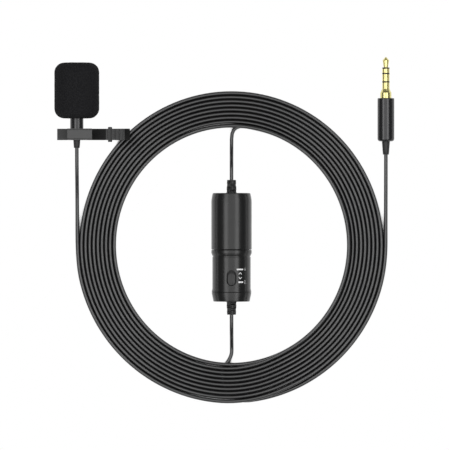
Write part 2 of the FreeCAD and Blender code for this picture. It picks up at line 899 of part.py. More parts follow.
def back_jaw():
    tip = "Sizes.tip_reach + "
    drop = "Places.back_under - Sizes.back_pad_drop"
    leaf = barred(
        "back_leaf",
        [
            ("0", "Places.back_under"),
            (tip + "Sizes.pin_reach - Sizes.lug_radius", "Places.back_under"),
            (tip + "Sizes.pad_reach", drop),
            (tip + "Sizes.pad_reach", drop + " + Sizes.leaf_thickness"),
            (tip + "Sizes.pin_reach + Sizes.lug_radius", "Places.back_top - Sizes.back_pad_step"),
            (tip + "Sizes.pin_reach - Sizes.lug_radius", "Places.back_top"),
            ("0", "Places.back_top"),
        ],
        "Sizes.clip_width",
        "Places.tip_x",
        "Places.clip_top",
        "0",
    )
    knuckle = rod(
        "back_knuckle",
        "Sizes.lug_radius",
        "Sizes.lug_width",
        "Places.pin_x",
        "Places.clip_middle - Sizes.lug_width / 2",
        "Places.pin_z",
        "Y",
    )
    teeth = [
        block(
            "back_tooth_%d" % k,
            "Sizes.tooth_width",
            "Sizes.clip_width",
            "Sizes.tooth_height + 0.2",
            "Places.tip_x + 0.2 + %d * Sizes.tooth_pitch" % k,
            "Places.clip_base",
            "Places.back_top - 0.2",
        )
        for k in range(TOOTH_COUNT)
    ]
    notch_half = "(Sizes.ear_half + 0.75)"
    notch_width = "((Sizes.clip_width - Sizes.lug_width) / 2)"
    notches = [
        block(
            "ear_notch_%d" % i,
            "2 * " + notch_half,
            notch_width + " + 1",
            "8",
            "Places.pin_x - " + notch_half,
            along,
            "Places.pin_z - 4",
        )
        for i, along in enumerate(("Places.clip_base - 1", "Places.clip_top - " + notch_width))
    ]
    slot = block(
        "spring_slot",
        "Sizes.spring_slot_length",
        "Sizes.spring_slot",
        "8",
        "Places.pin_x - Sizes.lug_radius - 0.3",
        "Places.clip_middle - Sizes.spring_slot / 2",
        "Places.pin_z - 4",
    )
    hole = rod(
        "back_pin_hole",
        "Sizes.pin_radius + Sizes.bore_clearance",
        "Sizes.clip_width + 2",
        "Places.pin_x",
        "Places.clip_base - 1",
        "Places.pin_z",
        "Y",
    )
    body = joined("back_jaw_body", [leaf, knuckle] + teeth)
    cut("clip_back_jaw", body, joined("back_jaw_cuts", notches + [slot, hole]))


def clip():
    front_jaw()
    back_jaw()
    left = "Sizes.tip_reach - Sizes.holder_half"
    right = "Sizes.tip_reach + Sizes.holder_half"
    lip = "Sizes.tip_reach + Sizes.holder_lip"
    under_lip = "Places.holder_top - Sizes.lip_thickness"
    holder = barred(
        "holder_bar",
        [
            (left, "Places.leaf_top"),
            (right, "Places.leaf_top"),
            (right, under_lip),
            (lip, under_lip),
            (lip, "Places.holder_top"),
            (left, "Places.holder_top"),
        ],
        "Sizes.clip_width",
        "Places.tip_x",
        "Places.clip_top",
        "0",
    )
    ring = rod(
        "holder_bore",
        "Places.ring_fit",
        "Sizes.clip_width + 2",
        "Places.mic_x",
        "Places.clip_base - 1",
        "Sizes.foam_radius",
        "Y",
    )
    rivet_hole = rod(
        "holder_rivet_hole",
        "Sizes.rivet_radius + 0.02",
        "Sizes.rivet_grip",
        "Places.mic_x",
        "Places.clip_middle",
        "Places.leaf_top",
    )
    cut("clip_holder", holder, joined("holder_cuts", [ring, rivet_hole]))
    block(
        "clip_face_plate",
        "Sizes.holder_half + Sizes.holder_lip",
        "Sizes.face_plate_width",
        "Sizes.face_plate_thickness",
        "Places.mic_x - Sizes.holder_half",
        "Places.clip_middle - Sizes.face_plate_width / 2",
        "Places.holder_top",
    )
    rod(
        "clip_rivet",
        "Sizes.rivet_radius",
        "Sizes.leaf_thickness + Sizes.rivet_grip",
        "Places.mic_x",
        "Places.clip_middle",
        "Places.leaf_under",
    )
    rod(
        "clip_hinge_pin",
        "Sizes.pin_radius",
        "Sizes.pin_length",
        "Places.pin_x",
        "Places.clip_middle - Sizes.pin_length / 2",
        "Places.pin_z",
        "Y",
    )
    clip_spring()


def clip_spring():
    """Torsion spring round the hinge pin; its legs press the thumb pads apart."""
    wire = size("spring_wire")
    mean = size("pin_radius") + 2 * wire
    slope = math.atan(at("pad_slope"))
    rise = slope + math.asin(size("spring_rise") / size("upper_leg"))
    first = 90 + math.degrees(rise)
    sweep = 300 + 360 * size("spring_turns") - first
    coil, start, end = wound_edges(mean, size("spring_pitch"), first, sweep)
    upper = Part.LineSegment(start[0] - start[1] * size("upper_leg"), start[0]).toShape()
    level = at("back_top") - size("back_pad_step") - at("pin_z")
    fall = (at("back_top") - size("back_pad_step") - at("back_under") + size("back_pad_drop")) - size(
        "leaf_thickness"
    )
    fall /= size("pad_reach") - size("pin_reach") - size("lug_radius")
    landing = Vector(3.4, level - (3.4 - size("lug_radius")) * fall + wire + 0.02, end[0].z)
    flat = Vector(1, -fall, 0).normalize()
    lower = two_arcs(end[0], end[1], landing, flat)
    lower.append(Part.LineSegment(landing, landing + flat * size("lower_leg")).toShape())
    spring = swept([upper] + coil + lower, wire, "clip_spring")
    spring.rotate(Vector(), Vector(1, 0, 0), 90)
    feature = doc.addObject("Part::Feature", "clip_spring")
    feature.Shape = spring
    put(feature, "Places.pin_x", "Places.clip_middle", "Places.pin_z")


# Battery module


def boot(name, along, wall, flip):
    """A tapered strain relief with ring grooves, its tip away from the module."""
    length, total = "Sizes.boot_length", "Sizes.boot_length + %s" % wall
    corners = [("Places.cord_bore", "0"), ("Sizes.boot_tip", "0")]
    slope = "(Sizes.boot_base - Sizes.boot_tip) / Sizes.boot_length"
    for k in range(BOOT_GROOVES):
        start = "(%d * Sizes.boot_rib)" % (2 * k + 1)
        stop = "(%d * Sizes.boot_rib)" % (2 * k + 2)
        for station, depth in ((start, "0"), (start, "Sizes.boot_groove"), (stop, "Sizes.boot_groove"), (stop, "0")):
            corners.append(("Sizes.boot_tip + %s * %s - %s" % (station, slope, depth), station))
    corners += [
        ("Sizes.boot_base", length),
        ("Sizes.boot_base", total),
        ("Sizes.boot_flange", total),
        ("Sizes.boot_flange", total + " + Sizes.boot_flange_length"),
        ("Places.cord_bore", total + " + Sizes.boot_flange_length"),
    ]
    body = turned(name, corners, "Places.coil_x", along, "Sizes.cap_radius")
    if flip:
        body.Placement.Rotation = FreeCAD.Rotation(Vector(1, 0, 0), 180)
        put(body, "Places.coil_x", along, "Sizes.cap_radius")
    return body


def module_shells():
    x, z = "Places.coil_x", "Sizes.cap_radius"
    cap = turned(
        "battery_cap",
        [
            ("Sizes.cap_bore", "0"),
            ("Sizes.cap_radius", "0"),
            ("Sizes.cap_radius", "Sizes.cap_length - Sizes.cap_shoulder"),
            ("Sizes.cap_end_radius", "Sizes.cap_length"),
            ("Places.boot_hole", "Sizes.cap_length"),
            ("Places.boot_hole", "Sizes.cap_length - Sizes.cap_end_wall"),
            ("Sizes.cap_bore", "Sizes.cap_length - Sizes.cap_end_wall"),
        ],
        x,
        "Places.seam_y",
        z,
    )
    round_edge(cap, "cap_rounding", size("cap_end_radius"), size("cap_length"), "groove_depth")
    boot("top_boot", "Places.cap_end_y + Sizes.boot_length", "Sizes.cap_end_wall", True)
    groove_end = "Places.neck_start + Sizes.groove_start + Sizes.groove_width"
    shell = turned(
        "housing_shell",
        [
            ("Sizes.housing_bore", "0"),
            ("Sizes.housing_radius", "0"),
            ("Sizes.housing_radius", "Sizes.housing_length"),
            ("Sizes.cap_radius", "Places.neck_start - Sizes.collar_band"),
            ("Sizes.cap_radius", "Places.neck_start"),
            ("Sizes.neck_radius", "Places.neck_start"),
            ("Sizes.neck_radius", "Places.neck_start + Sizes.groove_start"),
            ("Sizes.neck_radius - Sizes.groove_depth", "Places.neck_start + Sizes.groove_start"),
            ("Sizes.neck_radius - Sizes.groove_depth", groove_end),
            ("Sizes.neck_radius", groove_end),
            ("Sizes.neck_radius", "Places.neck_end"),
            ("0", "Places.neck_end"),
            ("0", "Places.neck_end - Sizes.neck_web"),
            ("Sizes.neck_bore", "Places.neck_end - Sizes.neck_web"),
            ("Sizes.neck_bore", "Places.neck_start - 1.2"),
            ("Sizes.housing_bore", "Places.neck_start - 1.8"),
        ],
        x,
        "Places.housing_base",
        z,
    )
    shelves = [
        block(
            "board_shelf_%d" % i,
            "Sizes.shelf_width",
            "Sizes.board_length",
            "Sizes.shelf_thickness",
            across,
            "Places.housing_base + Sizes.board_start",
            "Places.board_under - Sizes.shelf_thickness",
        )
        for i, across in enumerate(
            ("Places.coil_x + Sizes.housing_bore + 0.2 - Sizes.shelf_width", "Places.coil_x - Sizes.housing_bore - 0.2")
        )
    ]
    slot = rounded_slot(
        "switch_slot",
        "Sizes.slot_width",
        "Sizes.slot_length",
        "Sizes.housing_radius",
        x,
        "Places.slot_y",
        "Places.plate_z",
    )
    wire_way = block(
        "wire_way",
        "2 * (Sizes.wire_spread + Sizes.wire_radius) + 0.6",
        "Sizes.neck_web + 0.2",
        "1.1",
        "Places.coil_x - Sizes.wire_spread - Sizes.wire_radius - 0.3",
        "Places.neck_top_y - Sizes.neck_web - 0.1",
        "Sizes.cap_radius - Sizes.wire_depth - 0.45",
    )
    cut("lower_housing", joined("housing_body", [shell] + shelves), joined("housing_cuts", [slot, wire_way]))
    turned(
        "tail_cap",
        [
            ("Places.boot_hole", "0"),
            ("Sizes.tail_end_radius", "0"),
            ("Sizes.tail_radius", "Sizes.tail_length - Sizes.tail_lip"),
            ("Sizes.tail_radius - 0.2", "Sizes.tail_length"),
            ("Sizes.housing_bore - Sizes.bore_clearance", "Sizes.tail_length"),
            ("Sizes.housing_bore - Sizes.bore_clearance", "Sizes.tail_length + Sizes.tail_spigot"),
            ("Sizes.tail_bore", "Sizes.tail_length + Sizes.tail_spigot"),
            ("Sizes.tail_bore", "Sizes.tail_wall"),
            ("Places.boot_hole", "Sizes.tail_wall"),
        ],
        x,
        "Places.tail_base",
        z,
    )
    boot("bottom_boot", "Places.tail_base - Sizes.boot_length", "Sizes.tail_wall", False)
    ring = doc.addObject("Part::Torus", "seal_ring")
    ring.setExpression("Radius1", "Sizes.neck_radius - Sizes.groove_depth + Sizes.seal_wire + 0.01")
    ring.setExpression("Radius2", "Sizes.seal_wire")
    ring.Placement = FreeCAD.Placement(Vector(), FreeCAD.Rotation(Vector(1, 0, 0), -90))
    put(ring, x, "Places.neck_top_y - Sizes.neck_length + Sizes.groove_start + Sizes.groove_width / 2", z)


def battery_bay():
    x, z = "Places.coil_x", "Sizes.cap_radius"
    blank = rod("tray_blank", "Sizes.tray_radius", "Places.tray_length", x, "Places.neck_top_y", z, "Y")
    floor = "Places.neck_top_y + Sizes.tray_floor"
    pocket = rod("cell_pocket", "Places.pocket_radius", "Places.pocket_length", x, floor, z, "Y")
    opening = block(
        "cell_opening",
        "2 * Places.pocket_radius",
        "Places.pocket_length",
        "Sizes.tray_radius + 1",
        "Places.coil_x - Places.pocket_radius",
        floor,
        z,
    )
    channel = block(
        "wire_channel",
        "2 * (Sizes.wire_spread + Sizes.wire_radius) + 0.6",
        "Places.tray_length + 2",
        "Sizes.tray_radius - Sizes.wire_depth + 0.36",
        "Places.coil_x - Sizes.wire_spread - Sizes.wire_radius - 0.3",
        "Places.neck_top_y - 1",
        "Sizes.cap_radius - Sizes.tray_radius",
    )
    cut("battery_tray", blank, joined("tray_cuts", [pocket, opening, channel]))
    wire = size("cell_spring_wire")
    pitch = (size("cell_spring_height") - 2 * wire) / 3
    edges = wound_edges(size("cell_spring_radius"), pitch, 0, 1080)[0]
    spring = swept(edges, wire, "negative_spring")
    spring.rotate(Vector(), Vector(1, 0, 0), -90)
    feature = doc.addObject("Part::Feature", "negative_spring")
    feature.Shape = spring
    put(feature, x, floor + " + Sizes.cell_spring_height / 2", z)
    rod("button_cell", "Sizes.cell_radius", "Sizes.cell_length", x, floor + " + Sizes.cell_spring_height", z, "Y")
    contact_y = floor + " + Places.pocket_length - Sizes.contact_thickness"
    rod("positive_contact", "Sizes.contact_radius", "Sizes.contact_thickness", x, contact_y, z, "Y")
    turned(
        "cord_anchor",
        [
            ("Places.cord_bore", "0"),
            ("Sizes.anchor_radius", "0"),
            ("Sizes.anchor_radius", "Sizes.anchor_length"),
            ("Places.cord_bore", "Sizes.anchor_length"),
        ],
        x,
        "Places.tray_top_y",
        z,
    )


def electronics():
    start = "Places.housing_base + Sizes.board_start"
    block(
        "circuit_board",
        "Sizes.board_width",
        "Sizes.board_length",
        "Sizes.board_thickness",
        "Places.coil_x - Sizes.board_width / 2",
        start,
        "Places.board_under",
    )
    parts = [
        block(
            "board_" + name,
            "%g" % width,
            "%g" % length,
            "%g" % height,
            "Places.coil_x + %g" % across,
            start + " + %g" % along,
            "Places.board_over",
        )
        for name, (across, along, width, length, height) in BOARD_PARTS.items()
    ]
    group("board_parts", parts)
    switch_blank = block(
        "switch_blank",
        "Sizes.switch_width",
        "Sizes.switch_length",
        "Sizes.switch_height",
        "Places.coil_x - Sizes.switch_width / 2",
        "Places.slot_y - Sizes.switch_length / 2",
        "Places.board_over",
    )
    stem_room = block(
        "stem_room",
        "Sizes.stem_width + 2 * Sizes.bore_clearance",
        "Sizes.stem_width + Sizes.switch_travel + 0.4",
        "Sizes.stem_depth + 0.1",
        "Places.coil_x - Sizes.stem_width / 2 - Sizes.bore_clearance",
        "Places.slot_y - (Sizes.stem_width + Sizes.switch_travel + 0.4) / 2",
        "Places.switch_top - Sizes.stem_depth",
    )
    cut("switch_body", switch_blank, stem_room)
    plate = rounded_slot(
        "slide_plate",
        "Sizes.slide_plate_width",
        "Sizes.slide_plate_length",
        "Sizes.slide_plate_thickness",
        "Places.coil_x",
        "Places.knob_y",
        "Places.plate_z",
    )
    knob = rounded_slot(
        "slide_knob",
        "Sizes.knob_width",
        "Sizes.knob_length",
        "Places.knob_top - Places.plate_z",
        "Places.coil_x",
        "Places.knob_y",
        "Places.plate_z",
    )
    stem = block(
        "slide_stem",
        "Sizes.stem_width",
        "Sizes.stem_width",
        "Sizes.stem_depth",
        "Places.coil_x - Sizes.stem_width / 2",
        "Places.knob_y - Sizes.stem_width / 2",
        "Places.plate_z - Sizes.stem_depth + 0.1",
    )
    joined("switch_slider", [plate, knob, stem])
    module_wires()


def module_wires():
    """Two wires from the anchor down the tray's channel to the board, and two from the output cord."""
    axis = size("cap_radius")
    top = at("tray_top_y") - at("coil_y")
    web = at("neck_top_y") - at("coil_y") - size("neck_web")
    low = axis - size("wire_depth")
    wires = []
    for side in (-1, 1):
        across = side * size("wire_spread")
        route = [
            Vector(across, top + size("wire_bow"), axis - size("anchor_radius")),
            Vector(across, top + size("wire_bow"), low),
            Vector(across, web - 4.0, low),
            Vector(across, web - 4.0, axis + size("board_rise")),
        ]
        wires.append(swept(corner_arcs(route, "module wire"), size("wire_radius"), "module wire"))
        height = axis + size("board_rise") - size("wire_radius")
        foot = size("tail_wall") + size("boot_length") - at("module_foot")
        wires.append(
            Part.makeCylinder(size("wire_radius"), 6.5, Vector(across, foot, height), Vector(0, 1, 0))
        )
    solid("module_wires", Part.makeCompound(wires))


# Plug


def nested(name, number, corners_front):
    """A contact or bush: its tube lies inside the next one and its front part shows."""
    inner = "(Sizes.rod_radius + %d * Sizes.nest_wall)" % number
    outer = "(Sizes.rod_radius + %d * Sizes.nest_wall)" % (number + 1)
    corners = [(inner, "0"), (outer, "0")]
    corners += [(outer, corners_front[0][1])] + corners_front + [(inner, corners_front[-1][1])]
    return turned(name, corners, "Places.plug_x", "Places.handle_front + %s" % rear(number), "Sizes.handle_radius")


def rear(number):
    """Expression for where the tail of a nested piece ends, behind the handle's front."""
    return "(%d - 7) * Sizes.tail_step" % number


def jack():
    x, z = "Places.plug_x", "Sizes.handle_radius"
    front = "Places.handle_front"
    radius = "Sizes.jack_radius"

    def station(name, number):
        return "Places.%s - (%s)" % (name, rear(number))

    turned(
        "jack_tip",
        [
            ("0", "0"),
            ("Sizes.rod_radius", "0"),
            ("Sizes.rod_radius", "7 * Sizes.tail_step + Places.tip_start"),
            ("Sizes.tip_neck", "7 * Sizes.tail_step + Places.tip_start"),
            ("Sizes.tip_radius", "7 * Sizes.tail_step + Places.tip_start + Sizes.tip_stretch - Sizes.tip_nose"),
            ("Sizes.tip_point", "7 * Sizes.tail_step + Places.tip_start + Sizes.tip_stretch"),
            ("0", "7 * Sizes.tail_step + Places.tip_start + Sizes.tip_stretch"),
        ],
        x,
        front + " - 7 * Sizes.tail_step",
        z,
    )
    bushes = []
    shown = (
        ("insulator_tip", 0, "ring_1_end", "tip_start"),
        ("jack_ring_1", 1, "ring_1_start", "ring_1_end"),
        ("insulator_middle", 2, "ring_2_end", "ring_1_start"),
        ("jack_ring_2", 3, "ring_2_start", "ring_2_end"),
        ("insulator_sleeve", 4, "sleeve_end", "ring_2_start"),
    )
    for name, number, start, stop in shown:
        piece = nested(name, number, [(radius, station(start, number)), (radius, station(stop, number))])
        if name.startswith("insulator"):
            bushes.append(piece)
    group("jack_insulators", bushes)
    sleeve_bore = "(Sizes.rod_radius + 5 * Sizes.nest_wall)"
    shank = "Sizes.jack_shank_length"
    turned(
        "jack_sleeve",
        [
            (sleeve_bore, "0"),
            ("Sizes.jack_shank_radius", "0"),
            ("Sizes.jack_shank_radius", shank),
            ("Sizes.jack_collar_radius", shank),
            ("Sizes.jack_collar_radius", shank + " + Sizes.jack_collar_length"),
            (radius, shank + " + Sizes.jack_collar_length + Sizes.jack_taper"),
            (radius, shank + " + Places.sleeve_end"),
            (sleeve_bore, shank + " + Places.sleeve_end"),
        ],
        x,
        front + " - " + shank,
        z,
    )


def plug():
    jack()
    x, z = "Places.plug_x", "Sizes.handle_radius"
    shank = "Sizes.core_length - Sizes.jack_shank_length"
    tails = "Sizes.core_length - 7 * Sizes.tail_step - 0.5"
    turned(
        "plug_core",
        [
            ("Places.cord_bore", "0"),
            ("Sizes.handle_bore - Sizes.core_play", "0"),
            ("Sizes.handle_bore - Sizes.core_play", "Sizes.core_length"),
            ("Sizes.jack_shank_radius + 0.02", "Sizes.core_length"),
            ("Sizes.jack_shank_radius + 0.02", shank),
            ("Sizes.rod_radius + 5 * Sizes.nest_wall + 0.02", shank),
            ("Sizes.rod_radius + 5 * Sizes.nest_wall + 0.02", tails),
            ("Places.cord_bore", tails),
        ],
        x,
        "Places.handle_front - Sizes.core_length",
        z,
    )
    handle = turned(
        "plug_handle",
        [
            ("Sizes.plug_boot_base + Sizes.bore_clearance", "0"),
            ("Sizes.handle_radius", "0"),
            ("Sizes.handle_radius", "Sizes.handle_length"),
            ("Sizes.handle_bore", "Sizes.handle_length"),
            ("Sizes.handle_bore", "Sizes.handle_wall"),
            ("Sizes.plug_boot_base + Sizes.bore_clearance", "Sizes.handle_wall"),
        ],
        x,
        "Places.handle_base",
        z,
    )
    round_edge(handle, "handle_corner", size("handle_radius"), 0, "handle_rounding")
    inside = "Sizes.plug_boot_length + Sizes.handle_wall"
    turned(
        "plug_boot",
        [
            ("Places.cord_bore", "0"),
            ("Sizes.plug_boot_tip", "0"),
            ("Sizes.plug_boot_base", "Sizes.plug_boot_length"),
            ("Sizes.plug_boot_base", inside),
            ("Sizes.plug_boot_flange", inside),
            ("Sizes.plug_boot_flange", inside + " + Sizes.plug_flange_length"),
            ("Places.cord_bore", inside + " + Sizes.plug_flange_length"),
        ],
        x,
        "Places.plug_foot",
        z,
    )


microphone()
clip()
module_shells()
battery_bay()
electronics()
plug()
mic_cord()
cord_coil()
module_lead()
output_cord()
doc.recompute()

NODES = [
    "foam_windscreen",
    "mic_grille",
    "dust_screen",
    "mic_capsule",
    "capsule_gasket",
    "mic_barrel",
    "mic_boot",
    "clip_holder",
    "clip_face_plate",
    "clip_front_jaw",
    "clip_back_jaw",
    "clip_rivet",
    "clip_hinge_pin",
    "clip_spring",
    "battery_cap",
    "top_boot",
    "lower_housing",
    "tail_cap",
    "bottom_boot",
    "seal_ring",
    "battery_tray",
    "button_cell",
    "positive_contact",
    "negative_spring",
    "cord_anchor",
    "circuit_board",
    "board_parts",
    "switch_body",
    "switch_slider",
    "module_wires",
    "jack_tip",
    "jack_ring_1",
    "jack_ring_2",
    "jack_sleeve",
    "jack_insulators",
    "plug_core",
    "plug_handle",
    "plug_boot",
    "mic_cord",
    "cord_coil",
    "module_lead",
    "output_cord",
]


def write_parts():
    """Checks every object, then writes one file for each node."""
    for thing in doc.Objects:
        if "Invalid" in thing.State or "Error" in thing.State:
            raise RuntimeError("%s is %s" % (thing.Name, thing.State))
    shapes = {}
    for name in NODES:
        shape = doc.getObjectsByLabel(name)[0].Shape
        if shape.isNull() or not shape.isValid() or shape.Volume <= 0:
            raise RuntimeError(name + " has no valid shape")
        shapes[name] = shape
    os.makedirs("parts", exist_ok=True)
    for name, shape in shapes.items():
        shape.exportStep("parts/%s.step" % name)
    print(len(shapes), "nodes written")


write_parts()
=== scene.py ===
# %% [markdown]
# # A lavalier microphone set
# The set lies on its back on a pale table and is seen from straight above: a foam-covered
# microphone with its tie clip, a battery module with a slide switch, a four-pole plug, and
# four metres of thin cord wound flat round the module. The CAD model holds every place and
# size. This lesson dresses it: it winds the cord, turns the shells and boots, eases the
# edges of the hard pieces and gives each surface its finish.

# %% Load the frame
import math

import bmesh
import bpy
from mathutils import Matrix, Vector, noise


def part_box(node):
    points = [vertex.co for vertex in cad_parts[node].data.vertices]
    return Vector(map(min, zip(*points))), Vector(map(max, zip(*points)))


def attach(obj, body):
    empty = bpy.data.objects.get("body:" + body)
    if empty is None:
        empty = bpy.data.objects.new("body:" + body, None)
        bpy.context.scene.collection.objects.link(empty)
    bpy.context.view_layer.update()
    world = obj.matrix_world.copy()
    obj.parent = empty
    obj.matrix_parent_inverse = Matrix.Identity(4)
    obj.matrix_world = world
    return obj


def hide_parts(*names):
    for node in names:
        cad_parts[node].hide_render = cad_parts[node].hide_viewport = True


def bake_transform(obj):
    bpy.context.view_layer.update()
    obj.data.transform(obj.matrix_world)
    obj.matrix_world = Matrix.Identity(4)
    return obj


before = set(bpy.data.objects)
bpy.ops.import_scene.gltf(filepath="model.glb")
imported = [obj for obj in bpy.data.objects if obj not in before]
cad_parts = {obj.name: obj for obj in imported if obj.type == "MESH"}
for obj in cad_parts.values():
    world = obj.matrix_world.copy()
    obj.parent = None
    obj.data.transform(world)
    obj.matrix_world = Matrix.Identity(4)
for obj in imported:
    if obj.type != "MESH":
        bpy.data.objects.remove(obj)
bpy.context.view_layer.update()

MM = 0.001

# %% [markdown]
# Three axes run along Y and carry nearly everything: the microphone's, the module's and
# the plug's. They are read from the CAD nodes, so most pieces move with a change there.
# The coil is wound about the module, a little above the seam between its two shells.

# %% Axes of the set


def axis_of(node, station=None):
    """The point on a turned node's axis at its lowest Y, or at a given Y."""
    low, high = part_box(node)
    along = low.y if station is None else station
    return Vector(((low.x + high.x) / 2, along, (low.z + high.z) / 2))


MODULE = axis_of("lower_housing")
PLUG = axis_of("plug_handle")
CAP = axis_of("battery_cap")
COIL = Vector((MODULE.x, CAP.y + 2.1 * MM, 0))
print("coil centre", tuple(round(value, 5) for value in COIL))

# %% [markdown]
# The photograph looks straight down. A very long lens, far away, keeps the tall windscreen
# and the module from leaning outwards. The picture is 216 mm high.

# %% Camera
FOCAL_LENGTH = 500
VIEWPOINT = Vector((-3.36, 9.70, 3001))
lens = bpy.data.cameras.new("long_lens")
lens.lens = FOCAL_LENGTH
lens.clip_end = 10
camera = bpy.data.objects.new("camera", lens)
bpy.context.scene.collection.objects.link(camera)
camera.location = COIL + VIEWPOINT * MM
bpy.context.scene.camera = camera
print("camera height", VIEWPOINT.z, "mm")

# %% [markdown]
# A real cord has one smooth line, so each cord here is one NURBS curve with a round
# section. The long one starts inside the microphone, drops to the table, winds inwards for
# nearly ten turns and comes out from under the innermost turn to the battery cap. Every
# turn climbs over the second cord at the bottom and moves in by one pitch there. The
# control points of a turn stand a little outside it, because the curve cuts corners.

# %% The wound cord's line
CORD = 0.9  # radius
PITCH = 1.97  # from strand to strand
INNER = 56.3  # radius of the innermost turn
OVAL = 1.0  # how much taller the ring is than wide
LIFT = 2.1  # height of the hump over the second cord
TURNS = 9
STEP = 12  # degrees between control points
COIL_START = 186
COIL_END = 66 + 3600
AXIS_HEIGHT = 9.67  # of the module


def ease(angle, low, high):
    """0 below low, 1 above high, and a smooth climb between them."""
    share = min(1.0, max(0.0, (angle - low) / (high - low)))
    return (1 - math.cos(math.pi * share)) / 2


def coil_point(angle, half_step):
    """A control point of the coil, in millimetres from its middle."""
    turn = max(0, int((angle - 200) // 360))
    here = angle - 360 * turn
    moved = min(TURNS, turn + ease(here, 274, 292))
    down = (292, 309)
    if turn == TURNS - 1:
        down = (460, 478)
    if turn == TURNS:
        down = (269.5, 281)
    lifted = ease(here, 243, 260) - ease(here, *down)
    spin = math.radians(angle)
    radius = INNER + PITCH * (TURNS - moved) + OVAL * math.sin(spin) ** 2
    radius /= math.cos(math.radians(half_step))
    return (radius * math.cos(spin), radius * math.sin(spin), CORD + LIFT * lifted)


LEAD = INNER + TURNS * PITCH
mic_route = [
    (-LEAD, 52.7, 10.8),
    (-LEAD, 39.6, 10.8),
    (-LEAD, 20.5, CORD),
]
turns = [coil_point(angle, STEP / 2) for angle in range(COIL_START, COIL_END + 1, STEP)]
module_route = [
    coil_point(COIL_END + 10.5, 3.5),
    (0.1, 58.1, CORD),
    (0, 44.4, 3.2),
    (0, 38.3, AXIS_HEIGHT),
    (0, 29.4, AXIS_HEIGHT),
    (0, 12.4, AXIS_HEIGHT),
]
print(len(turns), "points in the turns")

# %% [markdown]
# The second cord leaves the module's foot, passes below the raised turns, follows the
# coil as its outermost strand and rises to the plug.

# %% The output cord's line
PLUG_HEIGHT = 4.03
OUTPUT_STEP = 90 / 6.5
output_route = [
    (0, -25.35, AXIS_HEIGHT),
    (0, -39.6, AXIS_HEIGHT),
    (0.1, -47.6, CORD),
    (0.1, -53.9, CORD),
    (-6.2, -61.2, CORD),
]
for k in range(7):
    spin = math.radians(270 + k * OUTPUT_STEP)
    radius = (LEAD + OVAL * math.sin(spin) ** 2) / math.cos(math.radians(OUTPUT_STEP / 2))
    output_route.append((radius * math.cos(spin), radius * math.sin(spin), CORD))
output_route += [
    (LEAD, 12.5, CORD),
    (LEAD, 33.0, PLUG_HEIGHT),
    (LEAD, 53.5, PLUG_HEIGHT),
]


def lay_cord(name, route, resolution):
    """A round cord along a NURBS line through the coil's frame.

    The points hold the radius and the bevel is 1 m, so the curve's bounds fit the cord.
    """
    curve = bpy.data.curves.new(name, "CURVE")
    curve.dimensions = "3D"
    line = curve.splines.new("NURBS")
    line.points.add(len(route) - 1)
    for point, place in zip(line.points, route):
        point.co = (*(COIL + Vector(place) * MM), 1)
        point.radius = CORD * MM
    line.order_u = 3
    line.use_endpoint_u = True
    line.resolution_u = resolution
    curve.bevel_depth = 1.0
    curve.bevel_resolution = 4
    curve.use_fill_caps = True
    cord = bpy.data.objects.new(name, curve)
    bpy.context.scene.collection.objects.link(cord)
    return cord


long_cord = lay_cord("long_cord", mic_route + turns + module_route, 5)
plug_cord = lay_cord("plug_cord", output_route, 10)

# %% [markdown]
# Both cords ride on the base and stand for the cord nodes of the CAD model.

# %% Hand the cords to the frame
for cord in (long_cord, plug_cord):
    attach(cord, "base")
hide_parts("mic_cord", "cord_coil", "module_lead")
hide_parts("output_cord")

# %% [markdown]
# Shader maths reads best as sums. `Link` wraps a socket, so `1 - mask * 0.3` adds its Math
# nodes by itself, and `Finish` holds one material and adds any other node with its
# settings and its inputs.

# %% Sockets as expressions


class Link:
    """A shader socket that can be added, multiplied and compared."""

    def __init__(self, finish, socket):
        self.finish = finish
        self.socket = socket

    def sum(self, operation, first, second=0.0):
        return self.finish.node("Math", {"operation": operation}, {0: first, 1: second})

    def __add__(self, other):
        return self.sum("ADD", self, other)

    def __radd__(self, other):
        return self.sum("ADD", other, self)

    def __sub__(self, other):
        return self.sum("SUBTRACT", self, other)

    def __rsub__(self, other):
        return self.sum("SUBTRACT", other, self)

    def __mul__(self, other):
        return self.sum("MULTIPLY", self, other)

    def __rmul__(self, other):
        return self.sum("MULTIPLY", other, self)

    def __gt__(self, other):
        return self.sum("GREATER_THAN", self, other)

    def __lt__(self, other):
        return self.sum("LESS_THAN", self, other)


